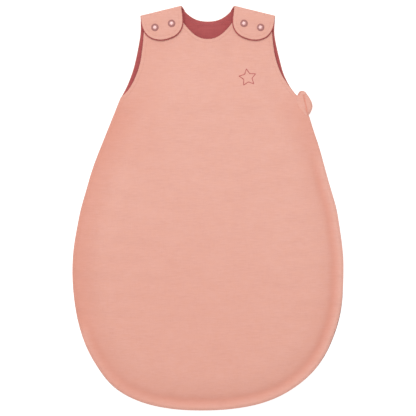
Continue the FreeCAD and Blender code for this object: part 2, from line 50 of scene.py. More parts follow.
# ------------------------------------------------------------------ dimensions, in mm, the same as the CAD source
Z_CENTRE, Z_SEAM, Z_ZIP, Z_ARMHOLE, Z_NECK, Z_SHOULDER = 24.0, 8.0, 16.0, 13.0, 16.5, 8.6
DOME, RIM = 62.0, 3.0
ZIP_C, ZIP_R, ZIP_Z, ZIP_INSET = (-399.0, -113.4), 608.0, 11.5, 6.4
ZIP_ARC_END_Y, ZIP_END_Y, SLIDER_Y, SLIDER_L = -182.0, -231.0, 144.0, 9.5
TAB_IN, TAB_OUT = np.array((42.5, 323.2)), np.array((108.0, 307.1))
CAP_R = 6.0
SNAPS = ((57.7, 293.9), (84.2, 287.5))
FOLD_TOP, FOLD_FOOT, FOLD_Z = np.array((160.0, 115.5)), np.array((-169.0, -246.0)), 31.9
SIDE = [(150.0, 171.5), (161.3, 147.0), (167.4, 127.6), (175.9, 102.0), (183.3, 76.4),
        (190.3, 50.8), (197.7, 25.2), (204.8, 0.0), (209.4, -26.0), (213.2, -51.6),
        (215.8, -77.2), (216.4, -109.0), (215.6, -141.2), (209.6, -179.6), (201.4, -205.2),
        (190.0, -230.8), (173.0, -256.4), (146.0, -281.8), (98.5, -307.4), (42.0, -320.1),
        (-10.0, -323.3), (-60.0, -320.9), (-113.5, -308.0), (-155.0, -282.2), (-175.4, -256.4),
        (-190.3, -230.8), (-200.8, -205.2), (-207.9, -179.6), (-214.2, -141.2), (-216.4, -109.0),
        (-215.6, -77.2), (-212.6, -51.6), (-208.0, -26.0), (-202.5, 0.0), (-195.3, 25.2),
        (-188.0, 50.8), (-179.3, 76.4), (-169.2, 102.0), (-158.9, 127.6), (-148.6, 153.2),
        (-139.0, 176.5)]
ARM_BACK_L = [(-139.0, 176.5), (-131.0, 191.6), (-125.4, 204.4), (-120.8, 217.2), (-117.1, 230.0),
              (-114.2, 242.8), (-111.6, 255.6), (-109.3, 268.4), (-107.7, 281.2), (-107.4, 294.0)]
ARM_BACK_R = [(107.0, 294.0), (106.6, 281.2), (108.2, 268.4), (110.8, 255.6), (113.8, 242.8),
              (117.0, 230.0), (120.6, 217.2), (126.0, 204.4), (133.4, 191.6), (142.0, 180.5),
              (150.0, 171.5)]
NECK_BACK = [(-42.5, 323.2), (-36.0, 314.3), (-28.0, 307.0), (-19.0, 301.9), (-9.0, 299.2),
             (0.0, 298.6), (9.0, 299.2), (19.0, 301.9), (28.0, 307.0), (36.0, 314.3), (42.5, 323.2)]
ARM_FRONT_L = [(-139.0, 176.5), (-129.2, 185.6), (-120.6, 198.0), (-114.6, 210.8), (-110.0, 223.6),
               (-107.0, 236.4), (-105.2, 249.2), (-103.7, 262.0), (-102.6, 274.8), (-101.8, 287.0),
               (-101.0, 297.0)]
ARM_FRONT_R = [(101.0, 297.0), (101.8, 287.0), (103.0, 274.8), (104.3, 262.0), (106.1, 249.2),
               (108.9, 236.4), (113.0, 223.6), (118.7, 210.8), (127.0, 198.0), (137.0, 185.0),
               (150.0, 171.5)]
NECK_FRONT = [(-47.5, 308.5), (-40.4, 298.0), (-32.0, 287.2), (-22.5, 277.6), (-12.0, 271.3),
              (0.0, 269.2), (12.0, 271.3), (22.5, 277.6), (32.0, 287.2), (40.4, 298.0), (47.5, 308.5)]
TAB_EDGE = [(42.0, 316.0), (41.0, 307.0), (40.4, 297.4), (41.6, 289.0), (45.2, 281.6), (51.4, 275.4),
            (60.0, 271.2), (69.5, 268.6), (77.5, 268.2), (85.5, 269.6), (93.0, 273.2), (99.2, 279.4),
            (103.2, 287.0), (105.4, 295.5), (106.4, 302.0)]
GARAGE = [(143.6, 180.6), (147.0, 186.2), (153.0, 186.8), (158.6, 181.4), (163.4, 174.0),
          (166.8, 166.0), (167.2, 160.6), (164.8, 153.6), (162.2, 149.0)]
GARAGE_IN = [(158.4, 148.6), (153.6, 158.6), (146.9, 170.6), (142.2, 175.4)]
CREASE = [(153.0, 179.2), (155.2, 168.0), (157.6, 156.0), (158.6, 148.0)]


# ------------------------------------------------------------------ curves in the plane
def arclen(p):
    return np.concatenate([[0.0], np.cumsum(np.linalg.norm(np.diff(p, axis=0), axis=1))])


def resample(p, step):
    s = arclen(p)
    n = max(2, int(round(s[-1] / step)))
    t = np.linspace(0, s[-1], n + 1)
    return np.stack([np.interp(t, s, p[:, k]) for k in range(p.shape[1])], 1)


def spline(points, step=1.0):
    """Points about step apart along a smooth curve through points."""
    p = np.array(points, float)
    t = arclen(p)
    h = np.diff(t)
    n = len(p)
    a, b = np.zeros((n, n)), np.zeros((n, 2))
    a[0, 0] = a[-1, -1] = 1
    for i in range(1, n - 1):
        a[i, i - 1], a[i, i], a[i, i + 1] = h[i - 1], 2 * (h[i - 1] + h[i]), h[i]
        b[i] = 6 * ((p[i + 1] - p[i]) / h[i] - (p[i] - p[i - 1]) / h[i - 1])
    m = np.linalg.solve(a, b)
    out = []
    for i in range(n - 1):
        k = max(4, int(h[i] / 0.5))
        u = np.linspace(0, 1, k, endpoint=False)[:, None]
        w = 1 - u
        out.append(w * p[i] + u * p[i + 1] + ((w ** 3 - w) * m[i] + (u ** 3 - u) * m[i + 1]) * h[i] ** 2 / 6)
    out.append(p[-1:])
    return resample(np.concatenate(out), step)


def straight(a, b, step=1.0):
    return resample(np.array([a, b], float), step)


def chain(*parts):
    """One closed outline and, for each of its points, which part it came from."""
    pts, tags = [], []
    for k, p in enumerate(parts):
        pts.append(p[:-1])
        tags += [k] * (len(p) - 1)
    return np.concatenate(pts), np.array(tags)


def normals2(p, closed=True):
    d = (np.roll(p, -1, 0) - np.roll(p, 1, 0)) if closed else np.gradient(p, axis=0)
    d /= np.maximum(np.linalg.norm(d, axis=1), 1e-9)[:, None]
    return np.stack([-d[:, 1], d[:, 0]], 1)


def S(t):
    t = np.clip(t, 0.0, 1.0)
    return t * t * t * (t * (6 * t - 15) + 10)


def bulge(t):
    """0 at t 0 rising upright to 1 at t 1, a quarter round."""
    t = np.clip(t, 0.0, 1.0)
    return np.sqrt(1 - (1 - t) ** 2)


def inside(poly, pts):
    hit = np.zeros(len(pts), bool)
    a, b = poly, np.roll(poly, -1, 0)
    for (ax, ay), (bx, by) in zip(a, b):
        if ay == by:
            continue
        c = (ay > pts[:, 1]) != (by > pts[:, 1])
        hit ^= c & (pts[:, 0] < (bx - ax) * (pts[:, 1] - ay) / (by - ay) + ax)
    return hit


class Nearest:
    """Distance to, and arc length of, the nearest point of an outline."""

    def __init__(self, poly, closed=True):
        p = np.concatenate([poly, poly[:1]]) if closed else poly
        self.dense = resample(p, 0.5)
        self.s = arclen(self.dense)
        self.tree = kdtree.KDTree(len(self.dense))
        for i, q in enumerate(self.dense):
            self.tree.insert((q[0], q[1], 0.0), i)
        self.tree.balance()
        self.src_s = arclen(p)

    def __call__(self, pts):
        d, s = np.empty(len(pts)), np.empty(len(pts))
        find = self.tree.find
        for i, q in enumerate(pts):
            _, j, r = find((q[0], q[1], 0.0))
            d[i], s[i] = r, self.s[j]
        return d, s


def inset(poly, dist):
    """The closed outline moved inward by dist, one number or one for each point."""
    near = Nearest(poly)
    dist = np.broadcast_to(np.asarray(dist, float), (len(poly),))
    p = poly + normals2(poly) * dist[:, None] * area_sign(poly)
    d, _ = near(p)
    p = p[(d > dist * 0.97)]
    return p


def area_sign(poly):
    q = np.roll(poly, -1, 0)
    return 1.0 if (poly[:, 0] * q[:, 1] - q[:, 0] * poly[:, 1]).sum() > 0 else -1.0


class Panel:
    """A flat piece of cloth: triangles inside an outline, with rows that follow the edge."""

    def __init__(self, poly, rings, grid, edge=2.0):
        if area_sign(poly) < 0:
            poly = poly[::-1]
        self.poly = poly
        near = Nearest(poly)
        nrm = normals2(poly)
        extra, reach = [], 0.0
        for k, r in enumerate(rings):
            q = (poly + nrm * r)[:: (1 if r < 9 else 2)]
            d, _ = near(q)
            q = q[(d > r * 0.985) & inside(poly, q)]
            extra.append(q)
            reach = r
        lo, hi = poly.min(0), poly.max(0)
        row = grid * math.sqrt(3) / 2
        ys = np.arange(lo[1], hi[1], row)
        g = []
        for j, y in enumerate(ys):
            xs = np.arange(lo[0] + (grid / 2 if j % 2 else 0), hi[0], grid)
            g.append(np.stack([xs, np.full(len(xs), y)], 1))
        g = np.concatenate(g)
        g = g[inside(poly, g)]
        d, _ = near(g)
        g = g[d > reach + 0.55 * grid]
        pts = np.concatenate([poly] + extra + [g])
        n = len(poly)
        v, _, f, vo, _, _ = delaunay_2d_cdt([Vector(q) for q in pts], [], [list(range(n))], 1, 1e-6)
        self.xy = np.array([tuple(q) for q in v])
        tri = np.array([t for t in f if len(t) == 3])
        a, b, c = (self.xy[tri[:, k]] for k in range(3))
        sign = (b[:, 0] - a[:, 0]) * (c[:, 1] - a[:, 1]) - (b[:, 1] - a[:, 1]) * (c[:, 0] - a[:, 0])
        tri = tri[np.abs(sign) > 1e-9]
        sign = sign[np.abs(sign) > 1e-9]
        tri[sign < 0] = tri[sign < 0][:, ::-1]
        used = np.unique(tri)
        back = np.full(len(self.xy), -1)
        back[used] = np.arange(len(used))
        self.xy, self.tri = self.xy[used], back[tri]
        self.d, self.s = near(self.xy)
        self.near = near
        # directed boundary edges
        e = np.concatenate([self.tri[:, [0, 1]], self.tri[:, [1, 2]], self.tri[:, [2, 0]]])
        key = {(i, j) for i, j in e.tolist()}
        self.rim = np.array([(i, j) for i, j in key if (j, i) not in key])

    def along(self, values, window=14.0):
        """A value given at each point of the outline, smoothed and read at every vertex's nearest edge point."""
        total = self.near.s[-1]
        s0 = self.near.src_s
        v = np.append(values, values[0])
        t = np.arange(0, total, 1.0)
        dense = np.interp(t, s0, v)
        k = max(1, int(window))
        w = np.hanning(k + 2)[1:-1]
        w /= w.sum()
        pad = np.concatenate([dense[-k:], dense, dense[:k]])
        dense = np.convolve(pad, w, "same")[k:-k]
        return np.interp(self.s, t, dense)


# ------------------------------------------------------------------ meshes
MATS = {}


def make(name, verts, faces, mat, rest=None, smooth=True, painted_shade=None):
    """A mesh object from millimetres."""
    me = bpy.data.meshes.new(name)
    v = np.asarray(verts, float) / 1000.0
    me.from_pydata(v.tolist(), [], faces if isinstance(faces, list) else faces.tolist())
    me.validate()
    if smooth:
        me.polygons.foreach_set("use_smooth", [True] * len(me.polygons))
    r = v if rest is None else np.asarray(rest, float) / 1000.0
    at = me.attributes.new("rest_co", "FLOAT_VECTOR", "POINT")
    at.data.foreach_set("vector", r.astype(np.float32).ravel())
    # painted shade: an optional amount for each vertex by which the cloth's colour is mixed towards its shade colour
    if painted_shade is not None:
        at = me.attributes.new("painted_shade", "FLOAT", "POINT")
        at.data.foreach_set("value", np.asarray(painted_shade, np.float32))
    me.materials.append(MATS[mat])
    me.update()
    o = bpy.data.objects.new(name, me)
    bpy.context.scene.collection.objects.link(o)
    return o


def closed(panel, top, bottom):
    """Verts and faces of the closed form between two surfaces over a panel (N x 3 each)."""
    n = len(top)
    v = np.concatenate([top, bottom])
    t = panel.tri
    side = []
    for i, j in panel.rim:
        side.append((i, i + n, j + n))
        side.append((i, j + n, j))
    f = np.concatenate([t, t[:, ::-1] + n, np.array(side)])
    return v, f


def lift(panel, z):
    return np.column_stack([panel.xy, z])


def tube(points, radius, sides=6, close=False, cap=True):
    """Verts and faces of a round bar along points."""
    p = np.asarray(points, float)
    t = np.gradient(p, axis=0)
    t /= np.maximum(np.linalg.norm(t, axis=1), 1e-9)[:, None]
    up = np.array([0.0, 0.0, 1.0])
    u = np.cross(t, up)
    bad = np.linalg.norm(u, axis=1) < 1e-3
    u[bad] = np.cross(t[bad], [1.0, 0, 0])
    u /= np.linalg.norm(u, axis=1)[:, None]
    # keep the frame from flipping
    for i in range(1, len(u)):
        a = u[i - 1] - t[i] * (u[i - 1] @ t[i])
        u[i] = a / max(np.linalg.norm(a), 1e-9)
    w = np.cross(t, u)
    ang = np.arange(sides) * 2 * math.pi / sides
    r = np.broadcast_to(np.asarray(radius, float), (len(p),))
    v = (p[:, None] + (u[:, None] * np.cos(ang)[None, :, None] + w[:, None] * np.sin(ang)[None, :, None]) * r[:, None, None])
    v = v.reshape(-1, 3)
    f = []
    for i in range(len(p) - 1):
        for k in range(sides):
            a, b = i * sides + k, i * sides + (k + 1) % sides
            f.append((a, b, b + sides, a + sides))
    if cap:
        f.append(tuple(range(sides))[::-1])
        f.append(tuple(range((len(p) - 1) * sides, len(p) * sides)))
    return v, f


def join(parts):
    v, f, off = [], [], 0
    for a, b in parts:
        v.append(a)
        f += [tuple(int(i) + off for i in q) for q in b]
        off += len(a)
    return np.concatenate(v), f


def sweep(path, section):
    """A closed section, (outward, height) pairs, along a plane path whose left side is outward."""
    n2 = normals2(path, closed=False)
    m = len(section)
    sec = np.asarray(section, float)
    v = np.concatenate([np.column_stack([path[i] + n2[i] * sec[:, :1], sec[:, 1]]) for i in range(len(path))])
    f = []
    for i in range(len(path) - 1):
        for k in range(m):
            a, b = i * m + k, i * m + (k + 1) % m
            f.append((a, a + m, b + m, b))
    f.append(tuple(range(m)))
    f.append(tuple(range((len(path) - 1) * m, len(path) * m))[::-1])
    return v, f


def stitches(path, length, gap, radius, height, lean=0.0, width=None):
    """Small rounded stitches along a plane path; height gives z at points. With width, they lie across the path."""
    s = arclen(path)
    out = []
    at = length * 0.6
    while at + length * 0.6 < s[-1]:
        if width is None:
            t = np.linspace(at, at + length, 5)
            q = np.stack([np.interp(t, s, path[:, k]) for k in range(2)], 1)
        else:
            c = np.array([np.interp(at, s, path[:, k]) for k in range(2)])
            e = np.array([np.interp(min(at + 0.3, s[-1]), s, path[:, k]) for k in range(2)]) - c
            e /= max(np.linalg.norm(e), 1e-9)
            n = np.array([-e[1], e[0]])
            q = np.array([c + (n * k + e * lean * k) * width / 2 for k in (-1, -0.55, 0, 0.55, 1)])
        z = height(q)
        arch = np.array([-0.9, 0.35, 0.7, 0.35, -0.9]) * radius
        r = np.array([0.35, 0.9, 1.0, 0.9, 0.35]) * radius
        out.append(tube(np.column_stack([q, z + arch]), r, 6))
        at += length + gap
    return join(out)


def surface_height(v, f):
    tree = BVHTree.FromPolygons([tuple(q) for q in v], [tuple(int(i) for i in q) for q in f])

    def at(q):
        z = []
        for x, y in q:
            hit = tree.ray_cast(Vector((x, y, 80.0)), Vector((0, 0, -1)))[0]
            z.append(hit.z if hit else np.nan)
        z = np.array(z)
        if np.isnan(z).any():
            z[np.isnan(z)] = np.nanmean(z) if not np.isnan(z).all() else 0.0
        return z
    return at


def waves(x, y, rng, lengths, amp):
    """A gentle unevenness made of a few crossed ripples."""
    out = np.zeros(len(x))
    for L in lengths:
        a, ph = rng.uniform(0, math.pi), rng.uniform(0, 2 * math.pi, 2)
        u = x * math.cos(a) + y * math.sin(a)
        v = -x * math.sin(a) + y * math.cos(a)
        out += np.sin(2 * math.pi * u / L + ph[0] + 0.8 * np.sin(2 * math.pi * v / (1.7 * L) + ph[1])) * amp / math.sqrt(len(lengths))
    return out


def ripple(s, rng, lengths):
    out = np.zeros(len(s))
    for L in lengths:
        out += np.sin(2 * math.pi * s / L + rng.uniform(0, 2 * math.pi))
    return out / len(lengths)


# ------------------------------------------------------------------ materials
def nodes(name):
    m = bpy.data.materials.new(name)
    m.use_nodes = True
    nt = m.node_tree
    nt.nodes.clear()
    out = nt.nodes.new("ShaderNodeOutputMaterial")
    p = nt.nodes.new("ShaderNodeBsdfPrincipled")
    nt.links.new(p.outputs["BSDF"], out.inputs["Surface"])
    MATS[name] = m
    return m, nt, p


def rest_vector(nt, scale, use_rest=True):
    if use_rest:
        c = nt.nodes.new("ShaderNodeAttribute")
        c.attribute_type = "GEOMETRY"
        c.attribute_name = "rest_co"
        src = c.outputs["Vector"]
    else:
        c = nt.nodes.new("ShaderNodeTexCoord")
        src = c.outputs["Object"]
    mp = nt.nodes.new("ShaderNodeMapping")
    mp.inputs["Scale"].default_value = scale
    nt.links.new(src, mp.inputs["Vector"])
    return mp.outputs["Vector"]


def noise_tex(nt, vec, scale=1.0, detail=3.0, rough=0.55):
    n = nt.nodes.new("ShaderNodeTexNoise")
    n.inputs["Scale"].default_value = scale
    n.inputs["Detail"].default_value = detail
    n.inputs["Roughness"].default_value = rough
    nt.links.new(vec, n.inputs["Vector"])
    return n.outputs["Fac"]


def ramp(nt, fac, a, b, lo, hi):
    r = nt.nodes.new("ShaderNodeMapRange")
    r.inputs["From Min"].default_value = lo
    r.inputs["From Max"].default_value = hi
    r.inputs["To Min"].default_value = a
    r.inputs["To Max"].default_value = b
    nt.links.new(fac, r.inputs["Value"])
    return r.outputs["Result"]


def calc(nt, op, a, b=None):
    n = nt.nodes.new("ShaderNodeMath")
    n.operation = op
    for k, x in enumerate((a, b)):
        if x is None:
            continue
        if isinstance(x, (int, float)):
            n.inputs[k].default_value = x
        else:
            nt.links.new(x, n.inputs[k])
    return n.outputs[0]


def mixc(nt, fac, a, b):
    n = nt.nodes.new("ShaderNodeMix")
    n.data_type = "RGBA"
    if isinstance(fac, (int, float)):
        n.inputs[0].default_value = fac
    else:
        nt.links.new(fac, n.inputs[0])
    for sock, x in ((n.inputs[6], a), (n.inputs[7], b)):
        if isinstance(x, tuple):
            sock.default_value = (*x, 1.0)
        else:
            nt.links.new(x, sock)
    return n.outputs[2]


def bump(nt, p, height, distance, strength=1.0):
    b = nt.nodes.new("ShaderNodeBump")
    b.inputs["Strength"].default_value = strength
    b.inputs["Distance"].default_value = distance
    nt.links.new(height, b.inputs["Height"])
    nt.links.new(b.outputs["Normal"], p.inputs["Normal"])


def srgb(r, g, b, k=1.0):
    out = []
    for c in (r, g, b):
        c = c / 255.0
        out.append((c / 12.92 if c <= 0.04045 else ((c + 0.055) / 1.055) ** 2.4) * k)
    return tuple(out)


def knit(nt, wale, course):
    """Rows of knitted loops: columns wale apart, rows course apart, in metres."""
    vec = rest_vector(nt, (1.0, 1.0, 1.0))
    sep = nt.nodes.new("ShaderNodeSeparateXYZ")
    nt.links.new(vec, sep.inputs[0])
    x = calc(nt, "MULTIPLY", sep.outputs[0], 2 * math.pi / wale)
    y = calc(nt, "MULTIPLY", sep.outputs[1], 2 * math.pi / course)
    cx = calc(nt, "COSINE", x)
    lean = calc(nt, "MULTIPLY", calc(nt, "ABSOLUTE", calc(nt, "SINE", calc(nt, "MULTIPLY", x, 0.5))), 2.2)
    rows = calc(nt, "SINE", calc(nt, "ADD", y, lean))
    return calc(nt, "ADD", calc(nt, "MULTIPLY", cx, 0.5), calc(nt, "MULTIPLY", rows, 0.5))


def cloth(name, base, dark, light, shade_colour, wale=0.0012, course=0.001, fuzz=0.35, depth=0.00012, streak=0.55, fleck=None):
    m, nt, p = nodes(name)
    painted_shade = nt.nodes.new("ShaderNodeAttribute")
    painted_shade.attribute_type = "GEOMETRY"
    painted_shade.attribute_name = "painted_shade"
    fine = noise_tex(nt, rest_vector(nt, (1100.0, 1500.0, 1100.0)), 1.0, 3.0, 0.6)
    lines = noise_tex(nt, rest_vector(nt, (75.0, 820.0, 75.0)), 1.0, 4.0, 0.6)
    uprights = noise_tex(nt, rest_vector(nt, (620.0, 60.0, 620.0)), 1.0, 2.0, 0.5)
    broad = noise_tex(nt, rest_vector(nt, (26.0, 34.0, 26.0)), 1.0, 3.0, 0.5)
    k = knit(nt, wale, course)
    c = mixc(nt, ramp(nt, lines, 0.0, streak, 0.38, 0.66), base, dark)
    c = mixc(nt, ramp(nt, fine, 0.0, 0.34, 0.45, 0.70), c, light)
    c = mixc(nt, ramp(nt, uprights, 0.0, 0.18, 0.50, 0.72), c, dark)
    c = mixc(nt, ramp(nt, broad, 0.0, 0.16, 0.40, 0.68), c, light)
    # painted shade: the knit's hollows, where its bump is lowest, are mixed up to a tenth towards the dark colour
    c = mixc(nt, ramp(nt, k, 0.10, 0.0, -1.0, 0.2), c, dark)
    if fleck is not None:
        c = mixc(nt, ramp(nt, noise_tex(nt, rest_vector(nt, (95.0, 110.0, 95.0)), 1.0, 3.0, 0.6), 0.0, 0.4, 0.42, 0.64), c, fleck)
    # painted shade: the colour is mixed towards the shade colour by the amount each vertex carries
    c = mixc(nt, painted_shade.outputs["Fac"], c, shade_colour)
    nt.links.new(c, p.inputs["Base Color"])
    nt.links.new(ramp(nt, fine, 0.78, 0.95, 0.3, 0.7), p.inputs["Roughness"])
    p.inputs["Sheen Weight"].default_value = fuzz
    p.inputs["Sheen Roughness"].default_value = 0.45
    p.inputs["Sheen Tint"].default_value = (*light, 1.0)
    p.inputs["Specular IOR Level"].default_value = 0.15
    h = calc(nt, "ADD", calc(nt, "MULTIPLY", k, 0.6), calc(nt, "MULTIPLY", fine, 1.6))
    bump(nt, p, h, depth, 0.8)
    return m


# the fifth colour of each cloth is its painted shade colour
cloth("peach_jersey", srgb(235, 179, 164), srgb(219, 156, 140), srgb(242, 191, 177), srgb(219, 140, 119), streak=0.50, fleck=srgb(234, 175, 155))
cloth("rose_jersey", srgb(182, 90, 90), srgb(156, 70, 73), srgb(198, 108, 106), srgb(140, 52, 56), wale=0.0013, course=0.0011,
      fuzz=0.25, depth=0.00016)


def wadding():
    m, nt, p = nodes("fibre_wadding")
    a = noise_tex(nt, rest_vector(nt, (300.0, 300.0, 300.0)), 1.0, 6.0, 0.7)
    b = noise_tex(nt, rest_vector(nt, (900.0, 180.0, 500.0)), 1.0, 4.0, 0.6)
    nt.links.new(mixc(nt, ramp(nt, a, 0, 1, 0.3, 0.7), (0.80, 0.79, 0.76), (0.90, 0.89, 0.87)), p.inputs["Base Color"])
    p.inputs["Roughness"].default_value = 1.0
    p.inputs["Sheen Weight"].default_value = 0.4
    bump(nt, p, calc(nt, "ADD", a, b), 0.0008, 0.9)


def tape_mat():
    m, nt, p = nodes("tape_twill")
    w = nt.nodes.new("ShaderNodeTexWave")
    w.wave_type, w.bands_direction = "BANDS", "DIAGONAL"
    w.inputs["Scale"].default_value = 1.0
    nt.links.new(rest_vector(nt, (420.0, 420.0, 900.0)), w.inputs["Vector"])
    f = noise_tex(nt, rest_vector(nt, (900.0, 900.0, 900.0)), 1.0, 3.0, 0.6)
    c = mixc(nt, ramp(nt, w.outputs["Fac"], 0, 0.6, 0, 1), srgb(226, 160, 144), srgb(205, 132, 120))
    c = mixc(nt, ramp(nt, f, 0, 0.3, 0.4, 0.7), c, srgb(238, 186, 172))
    nt.links.new(c, p.inputs["Base Color"])
    p.inputs["Roughness"].default_value = 0.8
    bump(nt, p, w.outputs["Fac"], 0.00012, 0.7)


def plastic(name, colour, rough):
    m, nt, p = nodes(name)
    f = noise_tex(nt, rest_vector(nt, (500.0, 500.0, 500.0)), 1.0, 2.0, 0.5)
    nt.links.new(mixc(nt, ramp(nt, f, 0, 0.5, 0.3, 0.7), colour, tuple(c * 0.86 for c in colour)), p.inputs["Base Color"])
    nt.links.new(ramp(nt, f, rough - 0.06, rough + 0.08, 0.3, 0.7), p.inputs["Roughness"])
    p.inputs["Coat Weight"].default_value = 0.15


def metal(name, colour, rough, scratch=0.00002):
    m, nt, p = nodes(name)
    f = noise_tex(nt, rest_vector(nt, (900.0, 900.0, 900.0), False), 1.0, 3.0, 0.6)
    g = noise_tex(nt, rest_vector(nt, (300.0, 3000.0, 3000.0), False), 1.0, 2.0, 0.5)
    nt.links.new(mixc(nt, ramp(nt, f, 0, 0.6, 0.3, 0.7), colour, tuple(c * 0.8 for c in colour)), p.inputs["Base Color"])
    p.inputs["Metallic"].default_value = 1.0
    nt.links.new(ramp(nt, g, rough - 0.08, rough + 0.1, 0.3, 0.7), p.inputs["Roughness"])
    bump(nt, p, g, scratch, 0.5)


def pearl():
    m, nt, p = nodes("snap_pearl_enamel")
    f = noise_tex(nt, rest_vector(nt, (260.0, 260.0, 260.0)), 1.0, 4.0, 0.6)
    lw = nt.nodes.new("ShaderNodeLayerWeight")
    lw.inputs["Blend"].default_value = 0.35
    c = mixc(nt, ramp(nt, f, 0, 0.6, 0.35, 0.65), srgb(186, 120, 114), srgb(168, 104, 99))
    # painted shade: the caps' colour darkens towards their rim, where the dome turns away from the view
    c = mixc(nt, ramp(nt, lw.outputs["Facing"], 0, 0.9, 0.03, 0.35), c, srgb(134, 76, 73))
    nt.links.new(c, p.inputs["Base Color"])
    p.inputs["Metallic"].default_value = 0.10
    nt.links.new(ramp(nt, f, 0.30, 0.40, 0.3, 0.7), p.inputs["Roughness"])
    p.inputs["Coat Weight"].default_value = 1.0
    p.inputs["Coat Roughness"].default_value = 0.34
    p.inputs["Coat IOR"].default_value = 1.68
    bump(nt, p, f, 0.00003, 0.4)


def thread(name, colour):
    m, nt, p = nodes(name)
    w = noise_tex(nt, rest_vector(nt, (2600.0, 2600.0, 2600.0)), 1.0, 3.0, 0.6)
    nt.links.new(mixc(nt, ramp(nt, w, 0, 1, 0.3, 0.7), colour, tuple(c * 0.78 for c in colour)), p.inputs["Base Color"])
    p.inputs["Roughness"].default_value = 0.55
    p.inputs["Sheen Weight"].default_value = 0.3
    bump(nt, p, w, 0.00008, 0.8)


wadding()
tape_mat()
plastic("coil_nylon", srgb(222, 156, 142), 0.38)
metal("slider_metal", srgb(206, 188, 180), 0.34)
metal("snap_metal_plain", srgb(200, 190, 186), 0.3)
pearl()
thread("embroidery_rose", srgb(206, 104, 102))
thread("seam_thread_peach", srgb(226, 162, 146))
thread("seam_thread_rose", srgb(176, 90, 90))
# painted shadow: the colour of the dark cord that stands for the shaded gap round the foot
thread("painted_shadow_brown", srgb(104, 52, 38))


# ------------------------------------------------------------------ outlines and the quilt's heights
def underside(x, y, d):
    low = Z_SEAM + (Z_ZIP - Z_SEAM) * zip_weight(x, y)
    up1, up2 = S((y - 135.0) / 75.0), S((y - 212.0) / 60.0)
    rim = low * (1 - up1) + Z_ARMHOLE * up1
    rim = rim * (1 - up2) + Z_SHOULDER * up2
    rim = rim + (Z_NECK - Z_SHOULDER) * S(1 - np.abs(x) / 50.0) * S((y - 196.0) / 60.0)
    rise = S((d - RIM) / DOME) * (1 - S((y - 165.0) / 95.0))
    return rim + (Z_CENTRE - rim) * rise


STEP = 2.0
side = spline(SIDE, STEP)
front_poly, front_tag = chain(side, spline(ARM_FRONT_L, STEP), straight(ARM_FRONT_L[-1], NECK_FRONT[0], STEP),
                              spline(NECK_FRONT, STEP), straight(NECK_FRONT[-1], ARM_FRONT_R[0], STEP),
                              spline(ARM_FRONT_R, STEP))
front_poly, front_tag = front_poly[::-1].copy(), front_tag[::-1].copy()   # now anticlockwise


def zip_weight(x, y):
    w = S(((x + 172.0) * 0.62 + (y + 250.0) * -0.785) / 52.0 + 1.75)
    return np.where(x < 0, w, np.maximum(w, S(x / 60.0)))


# round the foot the back's edge shows by about a millimetre beyond the front's
_fx, _fy = front_poly.T
_in = (1.45 * (front_tag == 0) * zip_weight(_fx, _fy) * S((-70.0 - _fy) / 90.0)
       * (0.55 + 0.45 * np.sin(np.arctan2(_fy, _fx) * 5.0 + 5.5)))
front_poly = front_poly + normals2(front_poly) * _in[:, None]

fold_t = (TAB_OUT - TAB_IN) / np.linalg.norm(TAB_OUT - TAB_IN)
fold_n = np.array((-fold_t[1], fold_t[0]))       # outward over the +X shoulder
ROLL_IN, ROLL_H = 8.0, 11.3                      # the strap turns over a half ellipse
BACK_IN = ROLL_IN + 0.1                          # the back's quilt stops here


def cut_to(curve, sx, inside_by):
    """The part of a curve that is more than inside_by inside the shoulder fold."""
    n = np.array((fold_n[0] * sx, fold_n[1]))
    c = np.array((TAB_IN[0] * sx, TAB_IN[1]))
    return curve[((curve - c) @ n) < -inside_by]


def on_fold(point_from, point_to, sx, inside_by):
    n = np.array((fold_n[0] * sx, fold_n[1]))
    c = np.array((TAB_IN[0] * sx, TAB_IN[1]))
    a, b = np.array(point_from, float), np.array(point_to, float)
    sa, sb = (a - c) @ n + inside_by, (b - c) @ n + inside_by
    return a + (b - a) * (sa / (sa - sb))


neck_b = spline(NECK_BACK, 0.5)
neck_l = cut_to(neck_b[neck_b[:, 0] < 0], -1, BACK_IN)
neck_r = cut_to(neck_b[neck_b[:, 0] >= 0], 1, BACK_IN)
neck_cut = resample(np.concatenate([neck_l, neck_r]), STEP)
sh_l = on_fold(ARM_BACK_L[-1], (-TAB_OUT[0], TAB_OUT[1]), -1, BACK_IN)
sh_r = on_fold((TAB_OUT[0], TAB_OUT[1]), ARM_BACK_R[0], 1, BACK_IN)
arm_l = resample(np.concatenate([spline(ARM_BACK_L, 0.5), sh_l[None]]), STEP)
arm_r = resample(np.concatenate([sh_r[None], spline(ARM_BACK_R, 0.5)]), STEP)
back_poly, back_tag = chain(side, arm_l, straight(sh_l, neck_cut[0], STEP), neck_cut,
                            straight(neck_cut[-1], sh_r, STEP), arm_r)
back_poly, back_tag = back_poly[::-1].copy(), back_tag[::-1].copy()

RINGS = [0.12, 0.5, 1.1, 2.0, 3.1, 4.4, 5.8, 7.4, 9.2, 11.2, 13.4, 15.8, 18.4, 21.2]
front = Panel(front_poly, RINGS, 3.2)
front_in = Panel(inset(front_poly, 2.2), [0.8, 2.2, 4.2, 7.0, 10.5], 4.6)
front_lin = Panel(inset(front_poly, 0.85), [0.5, 1.3, 2.6, 4.6, 7.2, 10.5], 5.0)
back = Panel(back_poly, [0.12, 0.5, 1.1, 2.0, 3.1, 4.4, 6.0, 8.4], 5.5)
back_in = Panel(inset(back_poly, 2.4), [0.8, 2.2, 4.2, 7.0], 8.0)
sewn_on = np.convolve(np.isin(back_tag, (2, 4)).astype(float), np.ones(3) / 3, "same")
back_lin = Panel(inset(back_poly, 0.95 - 0.75 * sewn_on), [0.12, 0.5, 1.1, 2.0, 3.1, 4.6, 7.0, 10.0], 3.6)


def edge_values(poly, tag, fn):
    return np.array([fn(t, q[0], q[1]) for t, q in zip(tag, poly)])


def zw1(x, y):
    return float(zip_weight(np.array([x]), np.array([y]))[0])


